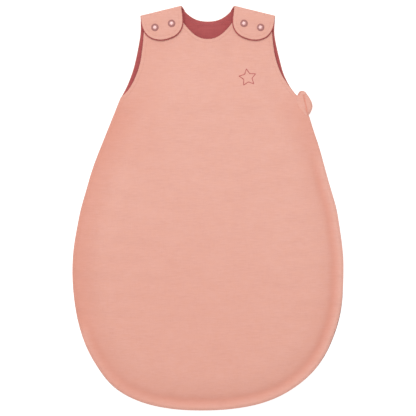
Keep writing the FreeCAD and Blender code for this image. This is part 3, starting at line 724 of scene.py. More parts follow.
def und1(x, y):
    return float(underside(np.array([x]), np.array([y]), np.array([0.0]))[0])


def seam_z(t, x, y):
    u = und1(x, y)
    if t == 0:
        w = zw1(x, y)
        w = w + (1 - w) * float(S(np.array((y - 150.0) / 24.0)))
        return 7.7 * (1 - w) + (u + 2.7) * w
    return u + 3.1


F_SEAM = edge_values(front_poly, front_tag, seam_z)
F_ROUND = edge_values(front_poly, front_tag, lambda t, x, y: (7.5 - 2.6 * zw1(x, y)) if t == 0 else 3.8)
F_SIDE = (front_tag == 0).astype(float)
# where the zip's edge has its trough
F_TROUGH = edge_values(front_poly, front_tag,
                       lambda t, x, y: (zw1(x, y) * float(S(np.array((118.0 - y) / 90.0)))
                                        * (0.5 + 0.5 * float(S(np.array((x + 140.0) / 110.0)))) if t == 0 else 0.0))
F_LEFT = edge_values(front_poly, front_tag, lambda t, x, y: (1 - zw1(x, y)) if t == 0 else 0.0)
F_OPEN = edge_values(front_poly, front_tag, lambda t, x, y: 1.0 if t in (1, 3, 5) else 0.0)


def read_front(panel):
    """The values on the outline of the front, at any panel's vertices."""
    d, s = FRONT_NEAR(panel.xy)
    total = FRONT_NEAR.s[-1]
    t = np.arange(0, total, 1.0)
    out = {}
    for name, v, window in (("seam", F_SEAM, 16), ("round", F_ROUND, 16), ("trough", F_TROUGH, 24),
                            ("left", F_LEFT, 16), ("open", F_OPEN, 8)):
        dense = np.interp(t, FRONT_NEAR.src_s, np.append(v, v[0]))
        w = np.hanning(window + 2)[1:-1]
        w /= w.sum()
        dense = np.convolve(np.concatenate([dense[-window:], dense, dense[:window]]), w, "same")[window:-window]
        out[name] = np.interp(s, t, dense)
    return d, s, out


FRONT_NEAR = Nearest(front_poly)


def front_heights(panel):
    """(top of the shell, underside of the lining) at the panel's vertices."""
    x, y = panel.xy.T
    d, s, e = read_front(panel)
    u = underside(x, y, d)
    rng = np.random.default_rng(11)
    shoulder = S((y - 262.0) / 20.0) * S((np.abs(x) - 30.0) / 12.0)
    centre = S(d / 70.0)
    top = u + 7.1 - 0.5 * centre
    # the padding swells a little between the sewn edge and the dome, and sinks in a trough along the zip
    top += 0.8 * np.exp(-((d - 5.5) / 3.6) ** 2) * e["trough"]
    top -= 2.1 * np.exp(-((d - 15.5) / 7.0) ** 2) * e["trough"]
    top += 0.5 * np.exp(-((d - 34.0) / 12.0) ** 2) * e["trough"]
    top -= 0.50 * np.exp(-((d - 5.2) / 1.5) ** 2) * e["left"]
    top -= 0.40 * np.exp(-((d - 5.6) / 1.3) ** 2) * e["open"] * (1 - shoulder)
    top += (0.9 * e["left"]) * np.exp(-((d - 15.0) / 9.0) ** 2)
    quiet = (1 - 0.85 * shoulder)
    # drawn-up cloth at the seams, dying out inwards
    pull = ripple(s, rng, (9.0, 13.0, 21.0)) * 0.42 + ripple(s, rng, (34.0, 52.0)) * 0.5
    top += pull * np.exp(-((d - 4.0) / 9.0) ** 2) * S(d / 3.0) * quiet * (0.35 + 0.65 * (1 - e["open"]))
    top += waves(x, y, rng, (150.0, 95.0, 64.0, 47.0), 0.50) * S(d / 30.0) * quiet
    top += waves(x, y, rng, (26.0, 19.0, 33.0), 0.10) * S(d / 14.0) * quiet
    z0 = e["seam"]
    shell = z0 + (top - z0) * bulge(d / e["round"])
    z1 = np.minimum(z0 - 0.6, u + 2.1)
    z1 = np.where(e["left"] > 0.5, np.maximum(z1, 7.95), z1)
    z1 = np.maximum(z1, 7.95)
    under = z1 - (z1 - np.maximum(u, 7.95)) * bulge((d - 0.5) / 3.2)
    return shell, under, d, s, e


def thick_of(d):
    return 0.3 + 0.8 * bulge(d / 2.0)


SH, UN, FD, FS_, FE = front_heights(front)


# ------------------------------------------------------------------ cloth simulation of the front's puff
def relax():
    """The front's shell as cloth, sewn down round its edge and pushed up by the wadding; returns the change in height as a field over the front panel."""
    coarse = Panel(resample(np.concatenate([front_poly, front_poly[:1]]), 5.0)[:-1], [2.5, 6.0, 10.5, 15.5, 21.0], 6.0)
    z, _, d, _, _ = front_heights(coarse)
    v = lift(coarse, z)
    me = bpy.data.meshes.new("puff_sim")
    me.from_pydata((v / 1000.0 * 10.0).tolist(), [], coarse.tri.tolist())
    o = bpy.data.objects.new("puff_sim", me)
    bpy.context.scene.collection.objects.link(o)
    g = o.vertex_groups.new(name="sewn")
    for i in np.flatnonzero(d < 3.0):
        g.add([int(i)], 1.0, "REPLACE")
    for i in np.flatnonzero((d >= 3.0)):
        g.add([int(i)], 0.06, "REPLACE")
    m = o.modifiers.new("Cloth", "CLOTH")
    c = m.settings
    c.quality = 6
    c.mass = 0.3
    c.tension_stiffness = c.compression_stiffness = 12.0
    c.shear_stiffness = 6.0
    c.bending_stiffness = 0.6
    c.air_damping = 3.0
    c.vertex_group_mass = "sewn"
    c.pin_stiffness = 1.0
    c.shrink_min = -0.035
    c.use_pressure = True
    c.uniform_pressure_force = 1.2
    c.effector_weights.gravity = 0.0
    m.collision_settings.use_collision = False
    m.point_cache.frame_start, m.point_cache.frame_end = 1, 20
    sc = bpy.context.scene
    for f in range(1, 21):
        sc.frame_set(f)
    dg = bpy.context.evaluated_depsgraph_get()
    e = o.evaluated_get(dg)
    q = np.array([tuple(p.co) for p in e.data.vertices]) * 100.0
    sc.frame_set(1)
    bpy.data.objects.remove(o)
    dz = q[:, 2] - v[:, 2]
    bad = ~np.isfinite(dz)
    dz[bad] = 0.0
    print("cloth moved", float(dz.min()), float(dz.max()), "mean", float(dz.mean()))
    # keep the fine shape of it, not the general rise
    tree = kdtree.KDTree(len(v))
    for i, p in enumerate(coarse.xy):
        tree.insert((p[0], p[1], 0), i)
    tree.balance()
    smooth_ = np.empty(len(dz))
    for i, p in enumerate(coarse.xy):
        near = tree.find_range((p[0], p[1], 0), 24.0)
        smooth_[i] = np.mean([dz[j] for _, j, _ in near])
    fine = np.clip(0.4 * (dz - smooth_), -0.45, 0.45) * S(coarse.d / 5.0)
    out = np.empty(len(front.xy))
    for i, p in enumerate(front.xy):
        near = tree.find_n((p[0], p[1], 0), 6)
        w = np.array([1.0 / (r + 1.5) ** 2 for _, _, r in near])
        out[i] = (w * np.array([fine[j] for _, j, _ in near])).sum() / w.sum()
    return out


shoulder = S((front.xy[:, 1] - 262.0) / 20.0) * S((np.abs(front.xy[:, 0]) - 30.0) / 12.0)
PUFF = relax() * (1 - shoulder) * bulge(FD / FE["round"])
SH = np.minimum(SH + PUFF, 31.45)

# ------------------------------------------------------------------ front panel
FOLD_AXIS = (FOLD_FOOT - FOLD_TOP) / np.linalg.norm(FOLD_FOOT - FOLD_TOP)
FOLD_OUT = np.array((-FOLD_AXIS[1], FOLD_AXIS[0]))
FOLD_MID = (FOLD_TOP + FOLD_FOOT) / 2


def fold_over(o):
    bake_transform(o)


hem = 1 - S((FD - 0.75) / 0.5)
inner = SH - thick_of(FD)
inner = np.minimum(inner, inner * (1 - hem) + (FE["seam"] - 0.28) * hem)
fx_, fy_ = front.xy.T
# painted shade over the front: a little everywhere, more towards the bottom, near the edges below the shoulders, in the
# trough along the zip, at the upper left and in the left edge's groove; less on the zip's raised rim and at the lower
# right, which read lighter
FRONT_PAINTED_SHADE = (0.05 + 0.17 * S((150.0 - fy_) / 420.0)
         + (0.30 - 0.14 * FE["trough"]) * (1 - S(FD / 58.0)) * S((205.0 - fy_) / 70.0)
         * (1 - FE["trough"] * (1 - S((FD - 2.0) / 20.0)))
         + (0.25 - 0.05 * S((-200.0 - fy_) / 90.0)) * np.exp(-((FD - 15.5) / 6.0) ** 2) * FE["trough"]
         - (0.16 - 0.10 * S((-200.0 - fy_) / 70.0)) * np.exp(-((FD - 3.5) / 5.0) ** 2) * FE["trough"]
         - 0.05 * S((fx_ - 20.0) / 120.0) * S((60.0 - fy_) / 120.0)
         + 0.12 * S((-30.0 - fx_) / 90.0) * S((fy_ - 10.0) / 110.0)
         + 0.10 * np.exp(-((FD - 5.0) / 2.2) ** 2) * FE["left"])
shell_v, shell_f = closed(front, lift(front, SH), lift(front, inner))
front_shell = make("front_shell_cloth", shell_v, shell_f, "peach_jersey", painted_shade=np.concatenate([FRONT_PAINTED_SHADE, FRONT_PAINTED_SHADE]))
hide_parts("front_bodice_shell", "front_flap_shell")
fold_over(front_shell)
top_z = surface_height(lift(front, SH), front.tri)

ish, iun, idd, _, _ = front_heights(front_in)
real = top_z(front_in.xy)
# thinner under the fold, so that it stays between its cloths when the flap turns over
by_fold = 1 - S((np.abs((front_in.xy - FOLD_MID) @ FOLD_OUT) - 17.0) / 9.0)
pad_top = np.minimum(real, ish) - thick_of(idd) - 0.35 - 0.5 * by_fold
pad_low = iun + 1.05 + 1.7 * by_fold
pad_top = np.maximum(pad_top, pad_low + 0.4)
pv, pf = closed(front_in, lift(front_in, pad_top), lift(front_in, pad_low))
front_pad = make("front_wadding_pad", pv, pf, "fibre_wadding")
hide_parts("front_bodice_wadding", "front_flap_wadding")
fold_over(front_pad)

_, lun, ldd, _, _ = front_heights(front_lin)
lz = lun + 0.05
lv, lf = closed(front_lin, lift(front_lin, lz + 0.3 + 0.55 * bulge(ldd / 2.0)), lift(front_lin, lz))
front_lining = make("front_lining_cloth", lv, lf, "rose_jersey")
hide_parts("front_bodice_lining", "front_flap_lining")
fold_over(front_lining)


# ------------------------------------------------------------------ back panel
def b_seam(t, x, y):
    if t == 0:
        w = zw1(x, y)
        w = w + (1 - w) * float(S(np.array((y - 160.0) / 16.0)))
        return 7.15 * (1 - w) + 3.7 * w
    return 0.9 if t in (2, 4) else 3.8


def b_lin(t, x, y):
    if t == 0:
        w = zw1(x, y)
        w = w + (1 - w) * float(S(np.array((y - 160.0) / 16.0)))
        return 6.95 * (1 - w) + 4.0 * w
    return 3.95 if t in (2, 4) else 4.1


B_SEAM, B_LIN = edge_values(back_poly, back_tag, b_seam), edge_values(back_poly, back_tag, b_lin)
BACK_NEAR = Nearest(back_poly)


def read_back(panel):
    d, s = BACK_NEAR(panel.xy)
    total = BACK_NEAR.s[-1]
    t = np.arange(0, total, 1.0)
    out = []
    for v in (B_SEAM, B_LIN):
        dense = np.interp(t, BACK_NEAR.src_s, np.append(v, v[0]))
        w = np.hanning(8)[1:-1]
        w /= w.sum()
        dense = np.convolve(np.concatenate([dense[-8:], dense, dense[:8]]), w, "same")[8:-8]
        out.append(np.interp(s, t, dense))
    return d, s, out[0], out[1]


def back_low(panel):
    d, s, zb, _ = read_back(panel)
    r = 1.2 + 0.7 * zb
    rng = np.random.default_rng(21)
    z = zb * (1 - bulge(d / r))
    x, y = panel.xy.T
    z = z + (0.30 + waves(x, y, rng, (120.0, 70.0, 44.0), 0.30)).clip(0) * S(d / 14.0)
    return z, d


def back_top(panel):
    d, s, _, zl = read_back(panel)
    x, y = panel.xy.T
    rng = np.random.default_rng(22)
    z = zl + (7.0 - zl) * bulge((d - 0.9) / 3.4)
    z = z + (waves(x, y, rng, (100.0, 60.0, 41.0), 0.32) + waves(x, y, rng, (17.0, 24.0), 0.08)) * S((d - 6.0) / 16.0)
    z -= 0.35 * np.exp(-((d - 6.4) / 1.3) ** 2) * S((y - 190.0) / 10.0)
    return np.minimum(z, 7.35), d


bz, bd = back_low(back)
_, _, bseam, _ = read_back(back)
hem = (1 - S((bd - 0.75) / 0.5)) * S((bseam - 1.5) / 1.5)
b_in = bz + 0.25 + 0.85 * bulge(bd / 2.0)
b_in = np.maximum(b_in, b_in * (1 - hem) + (bseam + 0.26) * hem)
bv, bf = closed(back, lift(back, b_in), lift(back, bz))
back_shell = make("back_shell_cloth", bv, bf, "peach_jersey")
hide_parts("back_shell")
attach(back_shell, "bag")

# painted shadow: a dark brown cord round the foot, on the back's edge where it shows beyond the front's, stands for the
# shaded gap between the two
foot = back_poly[(back_tag == 0) & (zip_weight(back_poly[:, 0], back_poly[:, 1]) > 0.5) & (back_poly[:, 1] < -30.0)]
foot = foot[np.argsort(np.arctan2(foot[:, 1] + 150.0, foot[:, 0] + 20.0))]
foot = resample(foot, 1.2)
foot_n = normals2(foot, closed=False)
if ((foot + foot_n)[len(foot) // 2] ** 2).sum() > (foot[len(foot) // 2] ** 2).sum():
    foot_n = -foot_n
strong = S((-30.0 - foot[:, 1]) / 110.0) * S((foot[:, 0] + 120.0) / 150.0)
foot_r = 0.12 + 0.52 * strong * (0.85 + 0.15 * np.sin(arclen(foot) / 23.0))
foot_c = np.column_stack([foot + foot_n * (foot_r + 0.04)[:, None], 5.2 + 3.6 * strong])
ov, of_ = tube(foot_c, foot_r, 6)
o = make("foot_shadow_cord", ov, of_, "painted_shadow_brown")
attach(o, "bag")

tz, td = back_top(back_lin)
lv2, lf2 = closed(back_lin, lift(back_lin, tz), lift(back_lin, tz - 0.3 - 0.6 * bulge((td - 0.9) / 2.0)))
back_lining = make("back_lining_cloth", lv2, lf2, "rose_jersey")
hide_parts("back_lining")
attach(back_lining, "bag")
lining_z = surface_height(lift(back_lin, tz), back_lin.tri)

wt, _ = back_top(back_in)
wl, wd = back_low(back_in)
w_low = wl + 1.25
w_top = np.maximum(np.minimum(wt - 1.15, w_low + 0.4 + 5.0 * bulge(wd / 5.0)), w_low + 0.35)
wv, wf = closed(back_in, lift(back_in, w_top), lift(back_in, w_low))
back_pad = make("back_wadding_pad", wv, wf, "fibre_wadding")
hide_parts("back_wadding")
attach(back_pad, "bag")

# ------------------------------------------------------------------ seam tape inside the sewn side
left_side = side[(side[:, 0] < 0) & (side[:, 1] > ZIP_END_Y + 18.0) & (side[:, 1] < 172.0)]
left_side = resample(left_side, 2.5)
sec = [(-7.0, 7.38), (-6.7, 7.62), (-4.0, 7.70), (-1.4, 7.60), (-1.1, 7.40), (-1.4, 7.34), (-4.0, 7.38), (-6.7, 7.34)]
tv, tf = sweep(left_side, sec)
tape_side = make("side_seam_binding", tv, tf, "tape_twill")
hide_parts("side_seam_tape")
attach(tape_side, "bag")

# ------------------------------------------------------------------ zip: the same path as in the CAD source
side4 = spline(SIDE, 4.0)
nr = normals2(side4, closed=False)
path, d_end, gone = [], 0.0, 0.0
for i, (q, m) in enumerate(zip(side4, nr)):
    inward = -m
    if q[1] > ZIP_ARC_END_Y and q[0] > 0:
        o_ = q - np.array(ZIP_C)
        b_ = o_ @ inward
        dist = -b_ - math.sqrt(b_ * b_ - (o_ @ o_ - ZIP_R ** 2))
        d_end = dist
    else:
        gone += float(np.linalg.norm(q - side4[i - 1]))
        t_ = float(S(np.array(gone / 90.0)))
        dist = d_end * (1 - t_) + ZIP_INSET * t_
    path.append(q + inward * dist)
    if q[0] < -100 and q[1] > ZIP_END_Y:
        break
path = np.array(path)
a0 = math.asin((SLIDER_Y - ZIP_C[1]) / ZIP_R)
a1 = math.asin((ZIP_ARC_END_Y + 4 - ZIP_C[1]) / ZIP_R)
a_top = a0 + (SLIDER_L / 2 + 1.5) / ZIP_R
ang = np.linspace(a_top, a1, 41)
arc = np.stack([ZIP_C[0] + ZIP_R * np.cos(ang), ZIP_C[1] + ZIP_R * np.sin(ang)], 1)
rest_path = path[~((path[:, 0] > 0) & (path[:, 1] > arc[-1][1] - 6.0))]
zip_path = np.concatenate([arc, rest_path])
keep = np.concatenate([[0], np.arange(2, len(zip_path), 3), [len(zip_path) - 1]])
zip_path = spline(zip_path[np.unique(keep)], 1.0)


def coil(path, z_out, z_apart, z_in, phase):
    """A nylon coil: one turn each 1.4 mm, oval in section, from z_out to z_in, or to z_apart by the slider."""
    s = arclen(path)
    pitch, per = 1.4, 8
    n = int(s[-1] / pitch * per)
    t = np.linspace(0.4, s[-1] - 0.4, n)
    c = np.stack([np.interp(t, s, path[:, k]) for k in range(2)], 1)
    nn = normals2(path, closed=False)
    m = np.stack([np.interp(t, s, nn[:, k]) for k in range(2)], 1)
    ph = 2 * math.pi * t / pitch + phase
    head = z_apart + (z_in - z_apart) * S((t - 12.5) / 5.0)
    z_mid, z_semi = (z_out + head) / 2, np.abs(head - z_out) / 2
    pts = np.column_stack([c + m * (np.cos(ph) * 0.72)[:, None], z_mid + np.sin(ph) * (z_semi - 0.24)])
    return tube(pts, 0.24, 5)


cv, cf = coil(zip_path, 9.1, 10.9, 11.75, 0.0)
coil_back = make("zip_chain_back", cv, cf, "coil_nylon")
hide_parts("zip_coil_back")
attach(coil_back, "bag")
cv, cf = coil(zip_path, 13.9, 12.1, 11.25, 0.0)
coil_front = make("zip_chain_front", cv, cf, "coil_nylon")
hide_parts("zip_coil_bodice", "zip_coil_flap")
fold_over(coil_front)

tp = resample(zip_path, 2.0)
wob = 0.0
tv, tf = sweep(tp, [(-0.26, 6.7), (-0.28, 8.4), (-0.26, 9.35), (0.26, 9.35), (0.28, 8.4), (0.26, 6.7)])
tape_back = make("zip_tape_back_cloth", tv, tf, "tape_twill")
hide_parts("zip_tape_back")
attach(tape_back, "bag")
tv, tf = sweep(tp, [(-0.26, 13.65), (-0.28, 14.8), (-0.26, 16.3), (0.26, 16.3), (0.28, 14.8), (0.26, 13.65)])
# the front's underside is lower near the chain's foot end, so the tape is trimmed to it there
near_under = FRONT_NEAR
vxy = np.asarray(tv)[:, :2]
dd, _ = near_under(vxy)
uz = underside(vxy[:, 0], vxy[:, 1], dd)
tv[:, 2] = np.minimum(tv[:, 2], np.maximum(uz + 0.5, 13.7))
tape_front = make("zip_tape_front_cloth", tv, tf, "tape_twill")
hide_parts("zip_tape_bodice", "zip_tape_flap")
fold_over(tape_front)

# ------------------------------------------------------------------ fabric cap over the zip's top end
g_out = spline(GARAGE, 1.0)
g_in = spline([GARAGE[-1], (157.6, 147.4), (151.0, 152.4), (145.0, 160.5), (141.2, 169.0), (140.6, 175.6), GARAGE[0]], 1.0)
g_poly, _ = chain(g_out, g_in)
garage = Panel(g_poly, [0.12, 0.45, 1.0, 1.8, 2.8, 4.0], 1.2)
gx, gy = garage.xy.T
gd = garage.d
g_edge = Nearest(g_out, closed=False)(garage.xy)[0]
fd, _ = FRONT_NEAR(garage.xy)
g_inside = inside(front_poly, garage.xy)
out_by = np.where(g_inside, -fd, fd)
cd = Nearest(spline(CREASE, 0.6), closed=False)(garage.xy)[0]
under_z = np.full(len(gx), 18.5)
under_z[g_inside] = top_z(garage.xy[g_inside])
level = 22.9 + 0.5 * np.sin(gy / 3.4 + gx / 2.6) * np.exp(-(cd / 4.0) ** 2)
level -= 1.9 * np.exp(-(cd / 1.0) ** 2) * S(gd / 2.0)
level -= 2.6 * np.exp(-(((gx - 161.8) / 3.2) ** 2 + ((gy - 148.5) / 4.0) ** 2))
over = under_z + 0.22 + 0.85 * bulge(gd / 3.0)
over = np.where(g_inside, over * S((-out_by - 1.0) / 4.0) + np.maximum(over, level) * (1 - S((-out_by - 1.0) / 4.0)), level)
cap_mid = 10.5
w_out = S((out_by + 0.6) / 1.6)
g_top = over * (1 - w_out) + (cap_mid + (level - cap_mid) * bulge(g_edge / 3.8)) * w_out
low_out = cap_mid - 0.25 - (cap_mid - 0.25 - 4.3) * bulge(g_edge / 3.6) * S((out_by - 0.2) / 1.2) + (1 - S((out_by - 0.2) / 1.2)) * 4.0
g_low = np.where(g_inside, under_z + 0.12, np.minimum(low_out, g_top - 0.15))
g_top = np.maximum(g_top, g_low + 0.1)
gv, gf = closed(garage, lift(garage, g_top), lift(garage, g_low))
# painted shade: a little over the whole cap and strongly along its crease
garage_painted_shade = 0.12 + 0.75 * np.exp(-(cd / 0.75) ** 2) * S(gd / 1.2)
garage_o = make("zip_garage_cloth", gv, gf, "peach_jersey", painted_shade=np.concatenate([garage_painted_shade, garage_painted_shade * 0]))
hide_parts("zip_garage")
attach(garage_o, "bag")

# ------------------------------------------------------------------ shoulder straps
ell = np.linspace(math.pi / 2, -math.pi / 2, 400)
roll_x, roll_z = ROLL_IN * np.cos(ell), ROLL_H + ROLL_H * np.sin(ell)
roll_s = arclen(np.stack([roll_x, roll_z], 1))
ROLL_L = roll_s[-1]
roll_nx, roll_nz = np.cos(ell) / ROLL_IN, np.sin(ell) / ROLL_H
k_ = np.hypot(roll_nx, roll_nz)
roll_nx, roll_nz = roll_nx / k_, roll_nz / k_


def flat_of(p):
    """(along the fold, out over it) of a plan point of the +X strap."""
    r = np.asarray(p, float) - TAB_IN
    return np.stack([r @ fold_t, r @ fold_n + ROLL_IN], 1)


def strap_outline(grow):
    """The strap laid flat. grow widens the tab part only."""
    tab = flat_of(spline(TAB_EDGE, 1.0))
    if grow:
        n = normals2(tab, closed=False) * (area_out)
        tab = tab + n * (grow * S((1.0 - tab[:, 1]) / 9.0))[:, None]
    up = spline([tuple(tab[-1]), (67.3, 8.0), (67.45, ROLL_L / 2), (67.9, ROLL_L * 0.8), (68.7, ROLL_L + 0.7)], 1.0)
    end = straight(up[-1], (-3.95, ROLL_L + 0.7), 1.0)
    down = spline([(-3.95, ROLL_L + 0.7), (-2.6, ROLL_L * 0.85), (-0.2, ROLL_L / 2), (0.7, 6.0), tuple(tab[0])], 1.0)
    return chain(tab, up, end, down)[0]


tab0 = flat_of(spline(TAB_EDGE, 1.0))
mid0 = tab0.mean(0)
n0 = normals2(tab0, closed=False)
area_out = 1.0 if ((tab0 + n0 - mid0) ** 2).sum() > ((tab0 - n0 - mid0) ** 2).sum() else -1.0
STRAP_RINGS = [0.1, 0.3, 0.6, 1.1, 1.9, 2.9, 4.2, 5.6, 7.2]


def roll_point(aq, depth):
    """Positions on the +X strap of flat points at a depth under its outer face, with the strap turned over the shoulder."""
    a, q = aq.T
    x = np.where(q < 0, q, 0.0) + np.where(q > ROLL_L, -(q - ROLL_L), 0.0)
    qq = np.clip(q, 0, ROLL_L)
    rx = np.interp(qq, roll_s, roll_x)
    rz = np.interp(qq, roll_s, roll_z)
    nx = np.interp(qq, roll_s, roll_nx)
    nz = np.interp(qq, roll_s, roll_nz)
    out = x + rx - nx * depth
    z = rz - nz * depth
    p = TAB_IN + np.outer(a, fold_t) + np.outer(out - ROLL_IN, fold_n)
    return np.column_stack([p, z])


outline0 = strap_outline(0.0)
strap = Panel(outline0, STRAP_RINGS, 1.7, 1.0)
strap_in = Panel(inset(outline0, 1.6), [0.5, 1.3, 2.6], 3.0)
strap_lin = Panel(strap_outline(1.55), [0.1, 0.3, 0.7, 1.4, 2.4], 2.4)

for word, sx in (("left", -1.0), ("right", 1.0)):
    rng = np.random.default_rng(31 if sx < 0 else 32)
    body = "tab_" + word

    def placed(panel, up_by, thick, base):
        """Closed strap layer; up_by lifts the outer face, thick is its thickness, base the depth of its outer face."""
        d = panel.d
        f = bulge(d / 0.6)
        a = roll_point(panel.xy, base - up_by + thick / 2 * (1 - f))
        b = roll_point(panel.xy, base + thick - thick / 2 * (1 - f))
        v, fc = closed(panel, a, b)
        if sx < 0:
            v = v * np.array([-1.0, 1.0, 1.0])
            fc = fc[:, ::-1]
        return v, fc

    caps_flat = flat_of(np.array(SNAPS))
    dc = np.min([np.hypot(*(strap.xy - c).T) for c in caps_flat], 0)
    q = strap.xy[:, 1]
    tab_only = S((2.0 - q) / 8.0)
    up = 0.85 * (1 - np.exp(-strap.d / 4.0)) * tab_only * S((dc - 5.6) / 6.0)
    up -= 0.42 * np.exp(-((strap.d - 5.2) / 0.9) ** 2) * tab_only * S((dc - 6.4) / 2.0)
    up += ripple(strap.s, rng, (8.0, 12.0, 19.0)) * 0.16 * np.exp(-((strap.d - 3.0) / 3.5) ** 2)
    up += 0.25 * ripple(strap.xy[:, 0], rng, (11.0, 17.0, 26.0)) * np.exp(-((q - 2.0) / 12.0) ** 2)
    up = np.maximum(up, -0.35)
    v, f = placed(strap, up, 1.15, 0.0)
    # painted shade: an even share of the cloth's shade colour over the whole strap
    o = make(word + "_strap_shell", v, f, "peach_jersey", painted_shade=np.full(len(v), 0.09))
    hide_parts(word + "_tab_shell")
    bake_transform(o)
    strap_shell = o
    tab_top = surface_height(v[:len(strap.xy)], f[:len(strap.tri)])

    v, f = placed(strap_in, 0.0, 1.45, 1.25)
    o = make(word + "_strap_interlining", v, f, "fibre_wadding")
    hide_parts(word + "_tab_interlining")
    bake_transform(o)

    v, f = placed(strap_lin, 0.0, 0.9, 2.85)
    o = make(word + "_strap_lining", v, f, "rose_jersey")
    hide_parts(word + "_tab_lining")
    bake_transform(o)

    # stitching 5 mm inside the rounded edge
    row = flat_of(spline(TAB_EDGE, 0.5))
    row = row - normals2(row, closed=False) * area_out * 5.2
    row = row[(Nearest(outline0)(row)[0] > 5.0) & (row[:, 1] < -3.0)]
    plan = TAB_IN + np.outer(row[:, 0], fold_t) + np.outer(row[:, 1] - ROLL_IN, fold_n)
    plan = plan * np.array([sx, 1.0])
    v, f = stitches(resample(plan, 0.5), 2.3, 0.7, 0.24, tab_top)
    o = make(word + "_tab_topstitch", v, f, "seam_thread_peach")
    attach(o, body)

    # pearly snap caps: rolled rim, groove and dome
    prof = [(0.0, 24.42), (0.7, 24.41), (1.4, 24.38), (2.1, 24.32), (2.8, 24.22), (3.5, 24.06), (4.1, 23.85), (4.6, 23.60),
            (4.95, 23.38), (5.2, 23.26), (5.45, 23.22), (5.7, 23.14), (5.9, 23.02), (6.0, 22.86), (5.92, 22.70),
            (5.6, 22.58), (4.0, 22.50), (1.3, 22.46), (1.3, 18.78), (0.0, 18.78)]
    pr = np.array(prof)
    seg = 48
    th = np.arange(seg) * 2 * math.pi / seg
    parts = []
    for (cx, cy) in SNAPS:
        vv = [(sx * cx, cy, pr[0, 1])]
        for r_, z_ in pr[1:-1]:
            vv += [(sx * cx + r_ * math.cos(t), cy + r_ * math.sin(t), z_) for t in th]
        vv.append((sx * cx, cy, pr[-1, 1]))
        ff = []
        m_ = len(pr) - 2
        for k in range(seg):
            k2 = (k + 1) % seg
            ff.append((0, 1 + k, 1 + k2))
            for j in range(m_ - 1):
                a_, b_ = 1 + j * seg, 1 + (j + 1) * seg
                ff.append((a_ + k, b_ + k, b_ + k2, a_ + k2))
            ff.append((1 + (m_ - 1) * seg + k, len(vv) - 1, 1 + (m_ - 1) * seg + k2))
        parts.append((np.array(vv), ff))
    v, f = join(parts)
    o = make(word + "_caps_pearl", v, f, "snap_pearl_enamel")
    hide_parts(word + "_snap_caps")
    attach(o, body)

# ------------------------------------------------------------------ stitching on the front
rows = []
for tag_set in ((1,), (3,), (5,)):
    sel = np.isin(front_tag, tag_set)
    idx = np.flatnonzero(sel)
    run = front_poly[idx]
    nrm = normals2(front_poly)[idx]
    p = run + nrm * 5.6
    p = p[(FRONT_NEAR(p)[0] > 5.3)]
    p = p[~((p[:, 1] > 270.0) & (np.abs(p[:, 0]) > 46.0))]
    if len(p) > 4:
        rows.append(stitches(resample(p, 0.5), 2.3, 0.7, 0.22, top_z))
v, f = join(rows)
o = make("front_edge_topstitch", v, f, "seam_thread_peach")
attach(o, "bag")

rows = []
for tag_set in ((1,), (3,), (5,)):
    idx = np.flatnonzero(np.isin(back_tag, tag_set))
    p = back_poly[idx] + normals2(back_poly)[idx] * 6.4
    p = p[(BACK_NEAR(p)[0] > 6.1)]
    rows.append(stitches(resample(p, 0.5), 2.3, 0.7, 0.22, lining_z))
v, f = join(rows)
o = make("back_edge_topstitch", v, f, "seam_thread_rose")
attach(o, "bag")

# five-point star outline in satin stitch
pts = []
for k in range(11):
    r = 14.0 if k % 2 == 0 else 7.0
    t = math.radians(90 + 36 * k + 8)
    pts.append((63.5 + r * math.cos(t), 207.5 + r * math.sin(t)))
star = resample(np.array(pts), 0.25)
v, f = stitches(star, 0.0, 0.42, 0.24, lambda q: top_z(q) + 0.12, lean=0.55, width=1.35)
o = make("chest_star_stitches", v, f, "embroidery_rose")
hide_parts("chest_embroidery")
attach(o, "bag")

# ------------------------------------------------------------------ CAD metal parts that are kept
KEPT = {"zip_slider": "slider_metal", "zip_pull": "slider_metal", "zip_top_stops": "slider_metal",
        "zip_bottom_stop": "slider_metal"}
for w_ in ("left", "right"):
    for part in ("sockets", "studs", "posts"):
        KEPT["%s_snap_%s" % (w_, part)] = "snap_metal_plain"
for name, mat in KEPT.items():
    o = bpy.data.objects[name]
    o.data.materials.clear()
    o.data.materials.append(MATS[mat])
    b = o.modifiers.new("edges", "BEVEL")
    b.width = 0.00018 if name.startswith("zip") else 0.00008
    b.segments = 2
    b.limit_method = "ANGLE"
    b.angle_limit = math.radians(35)
    b.harden_normals = False

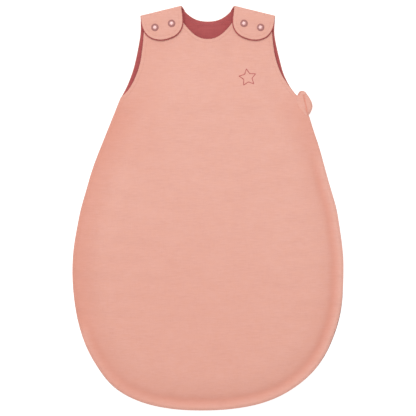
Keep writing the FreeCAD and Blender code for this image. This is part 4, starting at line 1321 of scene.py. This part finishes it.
# ------------------------------------------------------------------ the bag's overall width and length, in metres
W, H = 0.4328, 0.6465


# ------------------------------------------------------------------ floor, light and camera
me = bpy.data.meshes.new("floor")
me.from_pydata([(-6, -6, -0.0004), (6, -6, -0.0004), (6, 6, -0.0004), (-6, 6, -0.0004)], [], [(0, 1, 2, 3)])
floor = bpy.data.objects.new("floor", me)
bpy.context.scene.collection.objects.link(floor)
fm = bpy.data.materials.new("floor_white")
fm.use_nodes = True
fp = fm.node_tree.nodes["Principled BSDF"]
fp.inputs["Base Color"].default_value = (0.46, 0.46, 0.46, 1)
fp.inputs["Roughness"].default_value = 0.9
fp.inputs["Emission Color"].default_value = (1, 1, 1, 1)
fp.inputs["Emission Strength"].default_value = 0.80
me.materials.append(fm)

scene = bpy.context.scene
world = bpy.data.worlds.new("studio")
scene.world = world
world.use_nodes = True
world.node_tree.nodes["Background"].inputs["Color"].default_value = (1.0, 1.0, 1.0, 1)
world.node_tree.nodes["Background"].inputs["Strength"].default_value = 0.40


def area_light(name, loc, size, energy, target=(0, 0, 0)):
    ld = bpy.data.lights.new(name, "AREA")
    ld.shape = "DISK"
    ld.size = size
    ld.energy = energy
    lo = bpy.data.objects.new(name, ld)
    lo.location = loc
    lo.rotation_mode = "QUATERNION"
    lo.rotation_quaternion = (Vector(target) - Vector(loc)).to_track_quat("-Z", "Y")
    scene.collection.objects.link(lo)
    return lo


area_light("soft_top", (-0.16, 0.85, 4.2), 2.4, 117.0)
area_light("soft_left", (-0.70, 0.40, 1.9), 0.6, 2.0, (0, 0.25, 0))

cam_d = bpy.data.cameras.new("camera")
cam_d.type = "PERSP"
cam_d.lens = 200.0
cam_d.sensor_width = 36.0
cam = bpy.data.objects.new("camera", cam_d)
cam.location = (0.00034, -0.00012, 0.018 + 3.6855)
cam.rotation_euler = (0, 0, 0)
cam_d.clip_end = 50.0
scene.collection.objects.link(cam)
scene.camera = cam
scene.view_settings.view_transform = "Standard"
scene.view_settings.look = "None"
scene.view_settings.exposure = 0.0
scene.view_settings.gamma = 1.0
